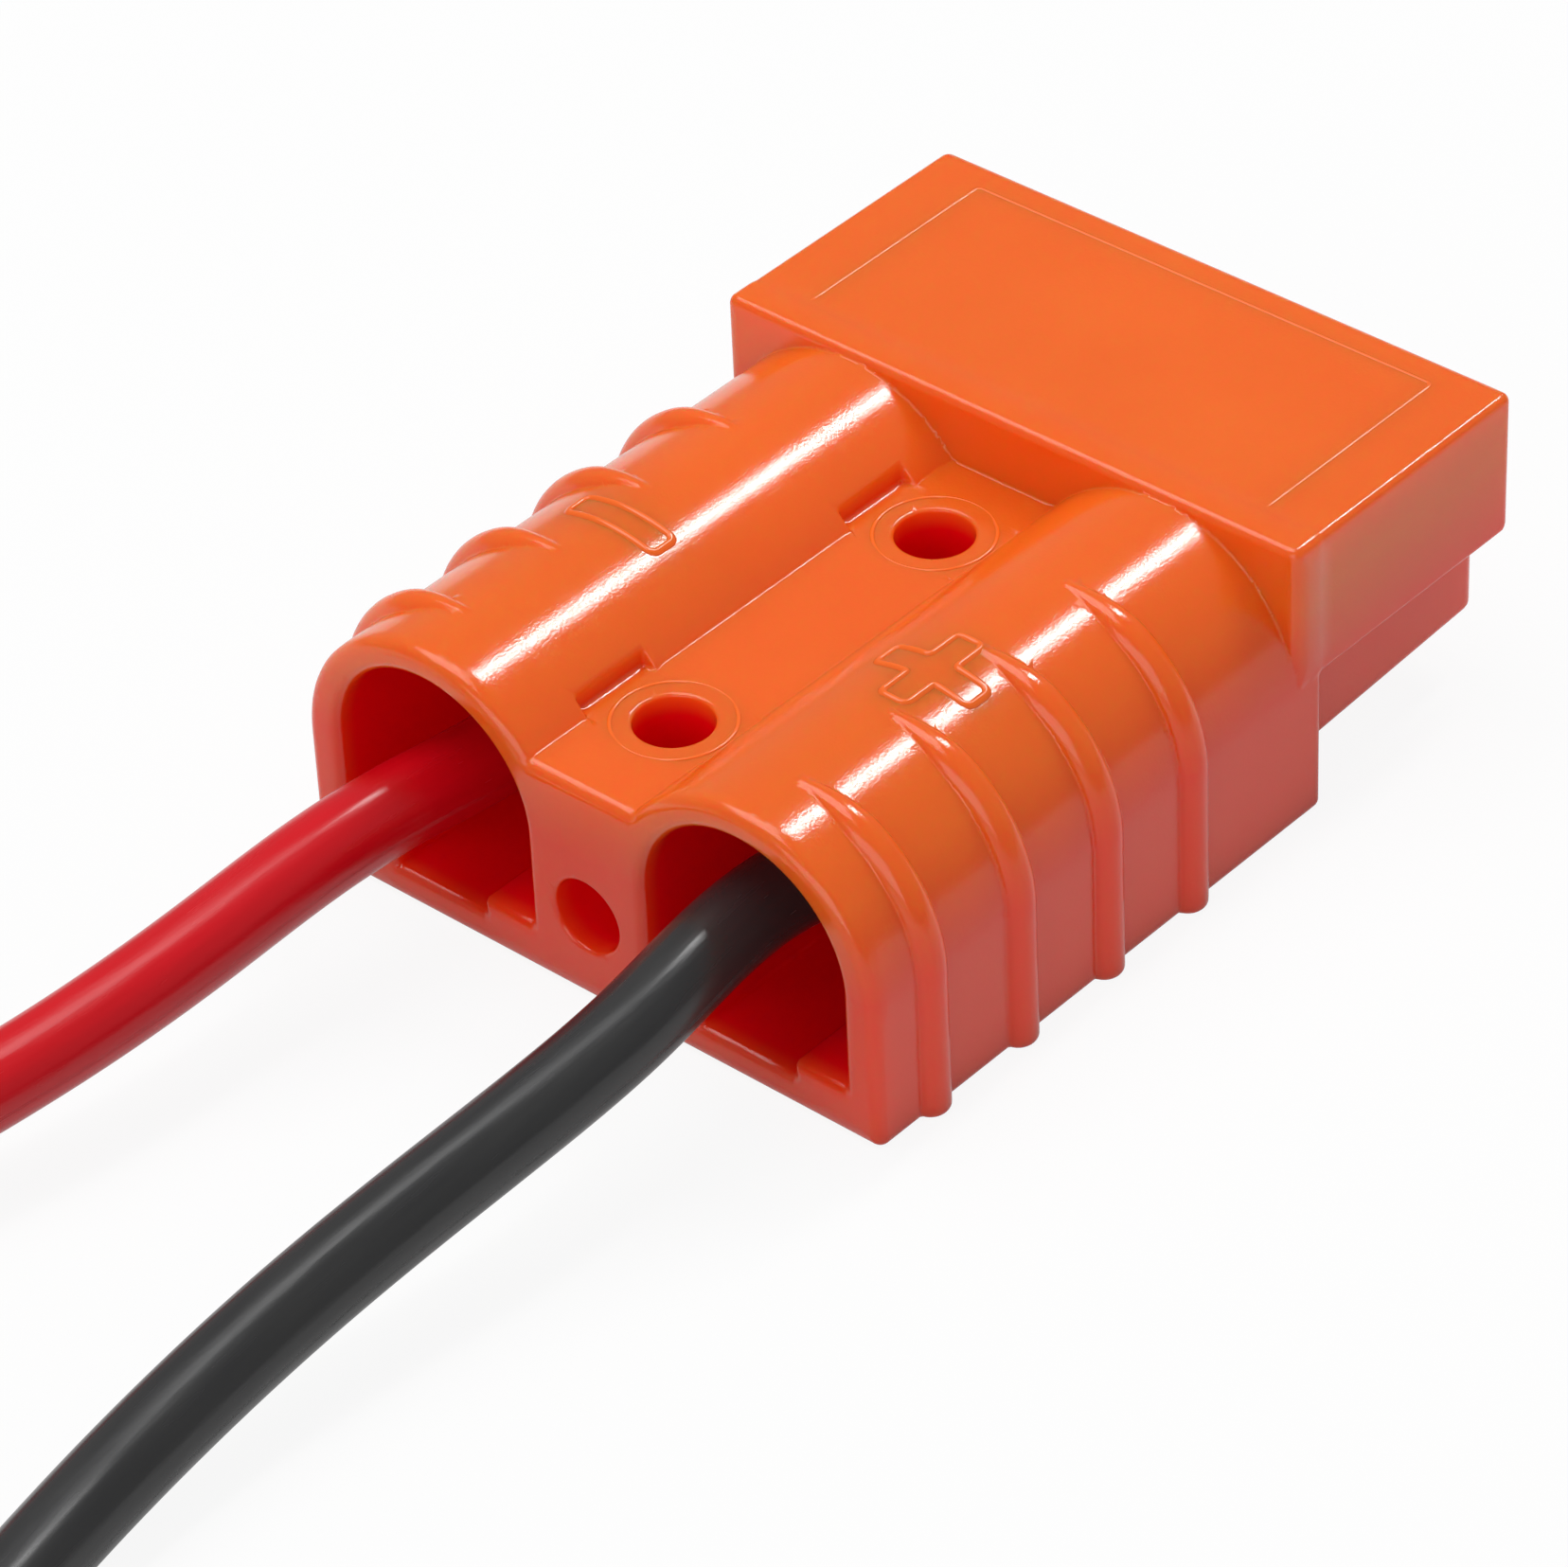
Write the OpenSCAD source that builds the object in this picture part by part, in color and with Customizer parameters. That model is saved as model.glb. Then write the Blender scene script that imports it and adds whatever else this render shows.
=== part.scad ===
// Two-pole genderless power connector of the 50 A class, wired with a red and a black lead.
// One moulded housing holds two silver plated contacts, each pressed up by a leaf spring.
// X runs across the poles with the red lead at minus X, Y points to the mating end, Z is up.
// The origin is at the middle of the housing's base, which lies on the table.

/* [Housing] */
// Width across the two poles
housing_w = 36; // [34:0.1:40]
// Length from the cable end to the front of the hood
housing_l = 48.4; // [46:0.1:54]
// Height from the base to the top of the head
housing_h = 16.2; // [15.6:0.1:18]
// Length of the arched cable section, from the rear face to the head
cable_section_l = 31.2; // [30.4:0.1:33]
// Thickness of the full height block that the hood and the tongue grow from
head_block_l = 2.2; // [1.6:0.1:3]
// Radius of the upright corners of the head
head_corner_r = 0.9; // [0.4:0.1:1.2]
// Radius of the upright corners at the cable end
rear_corner_r = 0.7; // [0.3:0.1:1]
// Radius of the hood's lower front corners, seen from the side
hood_nose_r = 1.1; // [0.5:0.1:2]

/* [Cable ways] */
// Radius of the round top of each cable way
way_r = 6.1; // [5.6:0.1:6.5]
// Wall beside each cable way
way_wall = 2.1; // [1.6:0.1:2.4]
// How much thinner the wall is above each cable way
way_rise = 0.5; // [0:0.1:0.8]
// How far the crests of the arches lie below the top of the head
crest_drop = 0.3; // [0.1:0.1:1]
// Length of each cable way, from the rear face inwards
way_l = 17; // [14:0.5:18]
// Height of the two ledges in the floor of each cable way
ledge_z = 2.7; // [2.2:0.1:3.2]
// Height of the channel between the ledges
channel_z = 1.8; // [1.2:0.1:2]
// Width of the channel between the ledges
channel_w = 5.8; // [4.4:0.1:8]

/* [Valley and fixing holes] */
// Height of the flat valley floor between the arches
valley_z = 12.65; // [11.4:0.05:13]
// Diameter of the two fixing holes through the valley floor
fix_hole_d = 4; // [3.2:0.1:4.4]
// Distance between the fixing holes
fix_pitch = 19.05; // [17:0.05:20]
// Distance from the rear face to the first fixing hole
fix_rear = 6.8; // [6:0.1:7.5]
// Diameter of the shallow seat around each fixing hole
seat_d = 6.2; // [5.6:0.1:7]
// Depth of that seat
seat_t = 0.1; // [0.05:0.05:0.4]
// Width across the valley of the notch beside each fixing hole
notch_w = 8.2; // [7.2:0.1:9]
// Length of that notch along the valley
notch_l = 4.8; // [4:0.1:6]
// Diameter of the blind hole in the rear face
pilot_d = 4; // [3:0.1:4.4]
// Depth of the blind hole
pilot_l = 3.4; // [2:0.1:3.6]
// Height of the blind hole's axis above the base
pilot_z = 5; // [4:0.1:7]

/* [Grip ribs] */
// Number of ribs on each side
rib_count = 4; // [2:1:4]
// Distance between two ribs
rib_pitch = 6.4; // [5.6:0.1:7]
// Distance from the rear face to the first rib
rib_rear = 4; // [3:0.1:5]
// Radius of a rib's round section
rib_r = 1.1; // [0.8:0.1:1.4]
// How far a rib stands out from the side
rib_lift = 0.65; // [0.3:0.05:0.8]
// How far a rib stands out from the crest, where it ends
rib_rise = 0.35; // [0:0.05:0.6]
// Height of the rounded foot of a rib above the base
rib_foot_z = 0.15; // [0.05:0.05:1.5]

/* [Marks] */
// Length of the polarity marks
mark_l = 6.2; // [5:0.1:7]
// Width of a mark's bar
mark_w = 2; // [1.6:0.1:2.6]
// Width of the raised outline
mark_line = 0.45; // [0.3:0.05:0.6]
// Height of the raised outline
mark_h = 0.15; // [0.05:0.05:0.3]
// Distance from the rear face to the centre of the marks
mark_rear = 14.1; // [12:0.1:18]
// Distance from the sunk panel's edge to the sides of the head
panel_side = 3.6; // [2:0.1:6]
// Distance from the panel's edge to the rear and the front of the head
panel_end = 1.8; // [1.4:0.1:4]
// Depth of the sunk panel
panel_t = 0.1; // [0.05:0.05:0.3]

/* [Mating end] */
// Side wall of the hood
hood_wall = 1.3; // [1:0.1:1.6]
// Roof of the hood
hood_roof = 2.2; // [1.6:0.1:2.6]
// Gap between the tongue and a mating hood, on each side
mate_gap = 0.2; // [0.1:0.05:0.4]
// How far the tongue stays back from the hood's front
tongue_back = 0.6; // [0.4:0.1:3]
// How much the tongue's underside rises towards its tip
tongue_rise = 0.7; // [0:0.1:1.2]
// Radius of the tongue's lower front corner, seen from the side
tongue_nose_r = 1.6; // [0.8:0.1:2]
// Floor under the contact in the tongue
tongue_floor = 2; // [1.6:0.1:2.4]
// Wall that closes the tongue's channel at the tip
tongue_end = 1.2; // [0.8:0.1:1.6]

/* [Contacts] */
// Outer diameter of the crimp barrel
barrel_d = 6.4; // [5.6:0.1:7]
// Distance from the rear face to the barrel's mouth
barrel_rear = 10.5; // [9:0.5:12]
// Depth of the barrel's bore
barrel_bore_l = 10; // [7:0.5:11]
// How far the barrel's axis lies below the contact face
barrel_drop = 0.4; // [0:0.1:1]
// Length of the forged part between barrel and blade
neck_l = 4; // [3:0.5:5]
// Width of the flat blade
blade_w = 8; // [7:0.1:9]
// Thickness of the flat blade
blade_t = 2; // [1.6:0.1:2.2]
// Inner radius of the hook at the blade's tip
hook_r = 0.8; // [0.5:0.1:1]
// Length of the hook's straight end
hook_l = 0.6; // [0.2:0.1:0.8]
// Diameter of the sight hole in the barrel
sight_d = 1.6; // [1.2:0.1:2]

/* [Leaf springs] */
// Width of a leaf spring
spring_w = 7; // [6:0.1:7.5]
// Thickness of a leaf spring
spring_t = 0.5; // [0.3:0.05:0.6]
// Length of a leaf spring from end to end
spring_l = 15; // [12:0.5:15.5]

/* [Leads] */
// Outer diameter of the insulated leads
lead_d = 4.3; // [4.1:0.1:4.7]
// Diameter of the stranded conductor
strand_d = 3; // [2.6:0.1:3.4]
// Bare conductor between the insulation and a barrel
strand_show = 1; // [0.6:0.1:2]
// Clearance between pieces that slide or push into each other
fit_gap = 0.05; // [0.02:0.01:0.1]
// Side clearance of a contact in its passage
contact_gap = 0.3; // [0.2:0.05:0.4]

/* [Ring terminals] */
// Diameter of the terminal's hole
ring_hole_d = 8.4; // [6.4:0.1:8.6]
// Outer diameter of the terminal's ring
ring_d = 15; // [13:0.5:16]
// Thickness of the terminal's palm
ring_t = 1.4; // [1:0.1:2]
// Length of the terminal's crimp barrel
ring_barrel_l = 8; // [6:0.5:10]
// Outer diameter of that barrel
ring_barrel_d = 4.9; // [4.8:0.1:5.4]
// Distance from the barrel's front to the middle of the hole
ring_reach = 11; // [10.5:0.5:14]
// Length of the shrink sleeve over barrel and lead
sleeve_l = 16; // [12:1:18]
// Wall of the shrink sleeve
sleeve_t = 0.5; // [0.4:0.1:0.8]
// Width of the tie around each folded lead
tie_w = 3; // [2:0.5:4]
// Thickness of that tie
tie_t = 0.6; // [0.4:0.1:0.8]

/* [Hidden] */
$fn = 64;
eps = 0.01;          // overrun of a cut past the face it opens
RED = -1;
BLACK = 1;

rear_y = -housing_l / 2;
head_y = rear_y + cable_section_l;
block_y = head_y + head_block_l;
front_y = housing_l / 2;
mate_z = housing_h / 2;                        // the plane where two mated halves meet
arch_r = way_r + way_wall;
way_x = housing_w / 2 - arch_r;
arch_z = housing_h - crest_drop - arch_r;
barrel_z = mate_z - barrel_drop;
barrel_y = rear_y + barrel_rear;
barrel_end_y = barrel_y + barrel_bore_l + strand_d / 2;
seat_y = rear_y + way_l;                       // where the way narrows to the barrel's seat
passage_y = barrel_end_y + neck_l / 4;         // where the seat opens into the blade's passage
passage_w = blade_w + 2 * contact_gap;
neck_end_y = barrel_end_y + neck_l;

hood_in_w = housing_w - 2 * hood_wall;
hood_in_z = housing_h - hood_roof;
tongue_w = hood_in_w - 2 * mate_gap;
tongue_y = front_y - tongue_back;
tongue_z = hood_roof + mate_gap;               // the tongue's underside at its root
tongue_top = mate_z - mate_gap;
spring_z = tongue_z + tongue_floor;            // floor of the contact channel
channel_y = tongue_y - tongue_end;             // front end of the contact channel

blade_z = mate_z - blade_t;
hook_y = channel_y - contact_gap - blade_t - hook_r;   // where the blade starts to bend down
spring_end_y = hook_y + hook_r - contact_gap;
spring_rise = blade_z - spring_z - spring_t - fit_gap;
spring_out_r = (pow(spring_l / 2, 2) + pow(spring_rise, 2)) / (2 * spring_rise) + spring_t;

first_hole_y = rear_y + fix_rear;
hole_ys = [first_hole_y, first_hole_y + fix_pitch];
rib_ys = [for (i = [0 : rib_count - 1]) rear_y + rib_rear + i * rib_pitch];

// The leads' routes. Each starts in its contact's barrel, leaves its cable way in the air, comes down to
// the table, folds back in one open loop and ends, in line with Y, in its ring terminal.
red_route = [
    [-9.8, -14.7, 7.7], [-9.65, -19.5, 7.56], [-10.19, -25, 7.75], [-10.78, -31, 7.58],
    [-11.27, -38, 6.76], [-12.1, -45, 5.83], [-13.38, -52, 5.04], [-15.21, -60, 4.31], [-17.43, -69, 3.7],
    [-19.64, -79, 3.26], [-21.11, -89, 3], [-21.6, -98, 2.9], [-21.7, -105, 2.9], [-21.7, -109, 2.9],
    [-20.4, -116.2, 2.7], [-16.6, -122.4, 2.4], [-9.9, -129.8, 2.2], [-5.5, -138.3, 2.2],
    [-5.8, -148, 2.2], [-10.8, -156.2, 2.2], [-19.2, -160.9, 2.2], [-28.8, -160.9, 2.2],
    [-37.2, -156.2, 2.2], [-42.2, -148, 2.2], [-42.5, -138.3, 2.2], [-38.1, -129.8, 2.2],
    [-31.4, -122.4, 2.4], [-27.6, -116.2, 2.7], [-26.3, -109, 2.9], [-26.3, -105, 2.9], [-27, -98, 3],
    [-29.2, -90.5, 3], [-30.4, -82, 3], [-30.5, -73, 3]];
black_route = [
    [9.8, -14.7, 7.7], [9.17, -19.5, 8.63], [9.25, -25, 8.78], [9.66, -31, 8.1], [9.41, -38, 7.13],
    [8.75, -45, 6.09], [8.25, -52, 5.03], [8.24, -59, 4.07], [8.79, -66, 3.32], [10.09, -74, 2.79],
    [12.1, -83, 2.59], [14.14, -92, 2.68], [15.59, -101, 2.85], [16.1, -109, 2.9], [16.2, -116, 2.9],
    [16.2, -120, 2.9], [14.9, -127.2, 2.7], [11.1, -133.4, 2.4], [4.4, -140.8, 2.2], [0, -149.3, 2.2],
    [0.3, -159, 2.2], [5.3, -167.2, 2.2], [13.7, -171.9, 2.2], [23.3, -171.9, 2.2], [31.7, -167.2, 2.2],
    [36.7, -159, 2.2], [37, -149.3, 2.2], [32.6, -140.8, 2.2], [25.9, -133.4, 2.4], [22.1, -127.2, 2.7],
    [20.8, -120, 2.9], [20.8, -116, 2.9], [21.7, -109, 3], [22.95, -102, 3], [23.1, -94, 3]];
lead_sides = 12;
tie_places = [[-24, -107], [18.5, -118]];
tie_z = 2.9;                                   // height of both leads' axes where the tie holds them
tie_half = 2.3;                                // half the distance between the two axes there

function route_of(side) = side == RED ? red_route : black_route;
function colour_of(side) = side == RED ? "firebrick" : "dimgray";
function unit(v) = v / norm(v);

// Direction of the route at point i, from its two neighbours
function heading(route, i) =
    i == 0 ? [0, -1, 0] :
    i == len(route) - 1 ? [0, 1, 0] :
    unit(unit(route[i + 1] - route[i]) + unit(route[i] - route[i - 1]));

// The ring of points around point i of a route
function lead_ring(route, i) =
    let (along = heading(route, i), side = unit(cross([0, 0, 1], along)), up = cross(along, side))
    [for (k = [0 : lead_sides - 1])
        let (a = 360 * k / lead_sides)
        route[i] + lead_d / 2 * (cos(a) * side + sin(a) * up)];

module along_y(from, to) {
    // Stands a flat outline in the XZ plane and gives it its length from one Y to another
    translate([0, to, 0]) rotate([90, 0, 0]) linear_extrude(to - from) children();
}

module across_x(width) {
    // Stands a flat outline in the YZ plane, centred across X
    translate([-width / 2, 0, 0]) rotate([90, 0, 90]) linear_extrude(width) children();
}

module rounded_bar(l, w) {
    // A flat bar along X with round ends
    square([l - w, w], center = true);
    for (s = [-1, 1]) translate([s * (l - w) / 2, 0]) circle(w / 2);
}

module rounded_block(w, y0, y1, z0, z1, r) {
    // A block with round upright corners
    translate([0, 0, z0]) linear_extrude(z1 - z0) {
        translate([-w / 2, y0 + r]) square([w, y1 - y0 - 2 * r]);
        translate([-w / 2 + r, y0]) square([w - 2 * r, y1 - y0]);
        for (s = [-1, 1], y = [y0 + r, y1 - r]) translate([s * (w / 2 - r), y]) circle(r);
    }
}

module body_section() {
    // Section of the cable section across the poles
    translate([-housing_w / 2, 0]) square([housing_w, arch_z]);
    translate([-way_x, 0]) square([2 * way_x, valley_z]);
    intersection() {
        for (s = [-1, 1]) translate([s * way_x, arch_z]) circle(arch_r);
        translate([-housing_w / 2, arch_z]) square([housing_w, arch_r]);
    }
}

module way_section() {
    // Section of one cable way: round top, straight sides and a channel between two ledges
    top_z = arch_z + way_rise;
    translate([way_x, top_z]) circle(way_r);
    translate([way_x - way_r, ledge_z]) square([2 * way_r, top_z - ledge_z]);
    translate([way_x - channel_w / 2, channel_z]) square([channel_w, top_z - channel_z]);
}

module side_nose(y0, y1, z0, z1, r) {
    // Side view of a block whose lower front corner is round
    translate([y0, z0]) square([y1 - y0 - r, z1 - z0]);
    translate([y0, z0 + r]) square([y1 - y0, z1 - z0 - r]);
    translate([y1 - r, z0 + r]) circle(r);
}

module cable_section() {
    // The arches with their sides, which run on into the head past its round corners
    intersection() {
        along_y(rear_y, head_y + head_corner_r) body_section();
        rounded_block(housing_w, rear_y, front_y, 0, housing_h, rear_corner_r);
    }
}

module head() {
    rounded_block(housing_w, head_y, block_y, 0, housing_h, head_corner_r);
    intersection() {
        rounded_block(housing_w, head_y, front_y, mate_z, housing_h, head_corner_r);
        across_x(housing_w) side_nose(head_y, front_y, mate_z, housing_h, hood_nose_r);
    }
}

module tongue() {
    intersection() {
        rounded_block(tongue_w, head_y, tongue_y, 0, tongue_top, head_corner_r);
        across_x(tongue_w) difference() {
            side_nose(block_y - eps, tongue_y, tongue_z, tongue_top, tongue_nose_r);
            // the underside rises towards the tip
            polygon([[block_y - 1, tongue_z - 1], [block_y, tongue_z],
                     [tongue_y + 1, tongue_z + tongue_rise], [tongue_y + 1, tongue_z - 1]]);
        }
    }
}

module grip_rib(y) {
    // A half round rib that ends low at the crest and runs down the side to a rounded foot
    bend_z = arch_z + rib_rise;
    translate([way_x + rib_lift, y, bend_z])
        rotate([90, 0, 0]) rotate_extrude(angle = 90) translate([arch_r - rib_r, 0]) circle(rib_r);
    translate([way_x + rib_lift + arch_r - rib_r, y, rib_foot_z + rib_r]) {
        cylinder(h = bend_z - rib_foot_z - rib_r, r = rib_r);
        sphere(rib_r);
    }
}

module mark_bars(side, grow) {
    // Outline of the minus on the red side and of the plus on the black side
    rounded_bar(mark_l - 2 * grow, mark_w - 2 * grow);
    if (side == BLACK) rotate(90) rounded_bar(mark_l - 2 * grow, mark_w - 2 * grow);
}

module polarity_mark(side) {
    // A raised outline that follows the round of the arch
    translate([side * way_x, 0, 0]) intersection() {
        translate([0, rear_y + mark_rear, arch_z]) linear_extrude(2 * arch_r) difference() {
            mark_bars(side, 0);
            mark_bars(side, mark_line);
        }
        along_y(rear_y, head_y) translate([0, arch_z]) circle(arch_r + mark_h);
    }
}

module contact_room() {
    // Everything that is hollow for one contact at +X, from its way to the tongue's channel
    along_y(rear_y - eps, seat_y) way_section();
    along_y(seat_y - eps, passage_y) translate([way_x, barrel_z]) circle(barrel_d / 2 + contact_gap);
    translate([way_x - passage_w / 2, passage_y - eps, spring_z])
        cube([passage_w, neck_end_y - passage_y + eps, barrel_z + barrel_d / 2 + contact_gap - spring_z]);
    translate([way_x - passage_w / 2, passage_y, spring_z])
        cube([passage_w, block_y + eps - passage_y, mate_z + contact_gap - spring_z]);
    translate([way_x - passage_w / 2, block_y - eps, spring_z])
        cube([passage_w, channel_y - block_y + eps, mate_z - spring_z]);
}

module housing() {
    color("orangered") difference() {
        union() {
            cable_section();
            head();
            tongue();
            for (s = [0, 1]) mirror([s, 0, 0]) for (y = rib_ys) grip_rib(y);
            for (side = [RED, BLACK]) polarity_mark(side);
        }
        for (s = [0, 1]) mirror([s, 0, 0]) contact_room();
        // the space under the hood that a mating tongue fills
        translate([-hood_in_w / 2, block_y, mate_z - eps])
            cube([hood_in_w, front_y - block_y + eps, hood_in_z - mate_z + eps]);
        for (y = hole_ys) {
            translate([0, y, -eps]) cylinder(h = valley_z + 2 * eps, d = fix_hole_d);
            translate([0, y, valley_z - seat_t]) cylinder(h = seat_t + eps, d = seat_d);
            translate([-notch_w / 2, y - notch_l / 2, valley_z]) cube([notch_w, notch_l, arch_r]);
        }
        translate([0, rear_y - eps, pilot_z]) rotate([-90, 0, 0]) cylinder(h = pilot_l + eps, d = pilot_d);
        translate([panel_side - housing_w / 2, head_y + panel_end, housing_h - panel_t])
            cube([housing_w - 2 * panel_side, front_y - head_y - 2 * panel_end, panel_t + eps]);
    }
}

module blade_section() {
    // Side view of the blade, with its tip hooked down in front of the leaf spring
    translate([neck_end_y - eps, blade_z]) square([hook_y - neck_end_y + eps, blade_t]);
    translate([hook_y, blade_z - hook_r]) difference() {
        circle(hook_r + blade_t);
        circle(hook_r);
        translate([-2 * blade_t - hook_r, -2 * blade_t]) square([2 * blade_t + hook_r, 4 * blade_t + 2 * hook_r]);
        translate([-blade_t, -2 * blade_t - hook_r]) square([2 * blade_t + 2 * hook_r, 2 * blade_t + hook_r]);
    }
    translate([hook_y + hook_r, blade_z - hook_r - hook_l]) square([blade_t, hook_l + eps]);
}

module contact(side) {
    color("silver") translate([side * way_x, 0, 0]) {
        difference() {
            union() {
                translate([0, barrel_y, barrel_z]) rotate([-90, 0, 0])
                    cylinder(h = barrel_end_y - barrel_y, d = barrel_d);
                hull() {
                    translate([0, barrel_end_y - eps, barrel_z]) rotate([-90, 0, 0])
                        cylinder(h = eps, d = barrel_d, $fn = 32);
                    translate([-blade_w / 2, neck_end_y - eps, blade_z]) cube([blade_w, eps, blade_t]);
                }
                across_x(blade_w) blade_section();
            }
            translate([0, barrel_y - eps, barrel_z]) rotate([-90, 0, 0])
                cylinder(h = barrel_bore_l + eps, d = strand_d + 2 * fit_gap);
            translate([0, barrel_y + barrel_bore_l - sight_d, barrel_z]) cylinder(h = barrel_d, d = sight_d);
        }
    }
}

module leaf_spring(side) {
    // A bowed strip: both ends stand on the channel's floor and its crest carries the blade
    color("lightsteelblue") translate([side * way_x, 0, 0]) across_x(spring_w)
        translate([spring_end_y - spring_l / 2, blade_z - fit_gap - spring_out_r]) intersection() {
            difference() {
                circle(spring_out_r, $fn = 128);
                circle(spring_out_r - spring_t, $fn = 128);
            }
            translate([-spring_l / 2, spring_out_r - spring_rise - spring_t])
                square([spring_l, spring_rise + 2 * spring_t]);
        }
}

module conductor(side) {
    // The stranded copper at both ends of a lead, in the contact's barrel and in the ring terminal's
    route = route_of(side);
    color("peru") {
        translate([side * way_x, route[0][1], barrel_z]) rotate([-90, 0, 0])
            cylinder(h = barrel_y + barrel_bore_l - fit_gap - route[0][1], d = strand_d);
        translate(route[len(route) - 1]) rotate([-90, 0, 0])
            cylinder(h = strand_show + ring_barrel_l, d = strand_d);
    }
}

module lead(side) {
    route = route_of(side);
    rings = len(route);
    points = [for (i = [0 : rings - 1]) each lead_ring(route, i)];
    walls = [for (i = [0 : rings - 2], k = [0 : lead_sides - 1])
        let (a = i * lead_sides + k, b = i * lead_sides + (k + 1) % lead_sides)
        [a, a + lead_sides, b + lead_sides, b]];
    first = [for (k = [0 : lead_sides - 1]) k];
    last = [for (k = [lead_sides - 1 : -1 : 0]) (rings - 1) * lead_sides + k];
    color(colour_of(side)) polyhedron(points, concat(walls, [first, last]), convexity = 10);
}

module ring_terminal(side) {
    // The barrel is in line with the lead's end and the palm lies on the table
    end = route_of(side)[len(route_of(side)) - 1];
    barrel_start = end[1] + strand_show;
    ring_y = barrel_start + ring_barrel_l + ring_reach;
    neck_w = ring_barrel_d + 2;
    color("silver") difference() {
        union() {
            translate([end[0], barrel_start, end[2]]) rotate([-90, 0, 0])
                cylinder(h = ring_barrel_l, d = ring_barrel_d);
            translate([end[0], ring_y, 0]) cylinder(h = ring_t, d = ring_d);
            translate([end[0] - neck_w / 2, barrel_start + ring_barrel_l, 0])
                cube([neck_w, ring_reach - ring_hole_d / 2, ring_t]);
            hull() {
                translate([end[0], barrel_start + ring_barrel_l - eps, end[2]]) rotate([-90, 0, 0])
                    cylinder(h = eps, d = ring_barrel_d, $fn = 32);
                translate([end[0] - neck_w / 2, barrel_start + ring_barrel_l + ring_t, 0])
                    cube([neck_w, eps, ring_t]);
            }
        }
        translate([end[0], barrel_start - eps, end[2]]) rotate([-90, 0, 0])
            cylinder(h = ring_barrel_l + eps, d = strand_d + 2 * fit_gap);
        translate([end[0], ring_y, -eps]) cylinder(h = ring_t + 2 * eps, d = ring_hole_d);
    }
}

module shrink_sleeve(side) {
    end = route_of(side)[len(route_of(side)) - 1];
    sleeve_in = ring_barrel_d + 2 * fit_gap;
    color(colour_of(side))
        translate([end[0], end[1] + strand_show + ring_barrel_l - sleeve_l - 1, end[2]]) rotate([-90, 0, 0])
            difference() {
                cylinder(h = sleeve_l, d = sleeve_in + 2 * sleeve_t);
                translate([0, 0, -eps]) cylinder(h = sleeve_l + 2 * eps, d = sleeve_in);
            }
}

module lead_tie(side) {
    // A strap around the two runs of a folded lead
    place = tie_places[side == RED ? 0 : 1];
    strap_in = lead_d + 2 * fit_gap;
    color("black") translate([place[0], 0, tie_z]) along_y(place[1] - tie_w / 2, place[1] + tie_w / 2)
        difference() {
            rounded_bar(2 * tie_half + strap_in + 2 * tie_t, strap_in + 2 * tie_t);
            rounded_bar(2 * tie_half + strap_in, strap_in);
        }
}

housing();
contact(RED);  // contact_red
contact(BLACK);  // contact_black
leaf_spring(RED);  // leaf_spring_red
leaf_spring(BLACK);  // leaf_spring_black
conductor(RED);  // conductor_red
conductor(BLACK);  // conductor_black
lead(RED);  // lead_red
lead(BLACK);  // lead_black
ring_terminal(RED);  // ring_terminal_red
ring_terminal(BLACK);  // ring_terminal_black
shrink_sleeve(RED);  // shrink_sleeve_red
shrink_sleeve(BLACK);  // shrink_sleeve_black
lead_tie(RED);  // lead_tie_red
lead_tie(BLACK);  // lead_tie_black
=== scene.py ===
# %% [markdown]
# A two-pole genderless power connector lies on a white table, with a red and a black lead that
# run out of its cable ways. The lesson dresses the bare solids: it sets up the camera, lays the
# two leads, gives the orange housing its soft moulded edges and every piece its own material, and
# lights the lot like a small product studio. All sizes are in metres, and most are written as a
# number of millimetres.

# %% The frame and the helpers that every cell uses
import math
import bpy
import numpy as np
import openvdb
from mathutils import Matrix, Vector


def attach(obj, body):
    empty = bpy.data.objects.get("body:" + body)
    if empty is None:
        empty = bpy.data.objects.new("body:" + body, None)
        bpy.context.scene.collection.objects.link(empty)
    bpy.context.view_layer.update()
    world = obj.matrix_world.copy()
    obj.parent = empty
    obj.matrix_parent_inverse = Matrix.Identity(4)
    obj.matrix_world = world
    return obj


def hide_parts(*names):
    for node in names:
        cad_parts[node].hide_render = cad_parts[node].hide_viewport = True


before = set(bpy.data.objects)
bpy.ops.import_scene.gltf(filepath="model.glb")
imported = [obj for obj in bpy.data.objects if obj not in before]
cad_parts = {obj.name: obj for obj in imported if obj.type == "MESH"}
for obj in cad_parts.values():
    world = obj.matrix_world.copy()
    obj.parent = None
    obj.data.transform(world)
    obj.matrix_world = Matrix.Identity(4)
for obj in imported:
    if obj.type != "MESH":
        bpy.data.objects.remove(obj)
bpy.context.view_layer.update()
MM = 0.001
RED = -1
BLACK = 1
COLOUR_OF = {RED: "red", BLACK: "black"}


def millimetres(*values):
    """The same lengths in metres."""
    return [value * MM for value in values]


print("nodes in the frame:", sorted(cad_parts))

# %% [markdown]
# The photograph looks down on the connector from behind its right corner, through a long lens, so
# that lines which run side by side stay almost side by side in the picture. A camera could be
# aimed with a constraint, but a matrix made of its own three directions is shorter and says
# exactly where it looks.

# %% Camera
CAMERA_AZIMUTH = 42.68
CAMERA_ELEVATION = 37.69
CAMERA_ROLL = -2.77
CAMERA_PLACE = Vector(millimetres(184.508, -210.084, 214.618))
PICTURE_WIDTH = 1656
SENSOR_WIDTH = 36
FOCAL_LENGTH_IN_PIXELS = 7523.4


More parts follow.
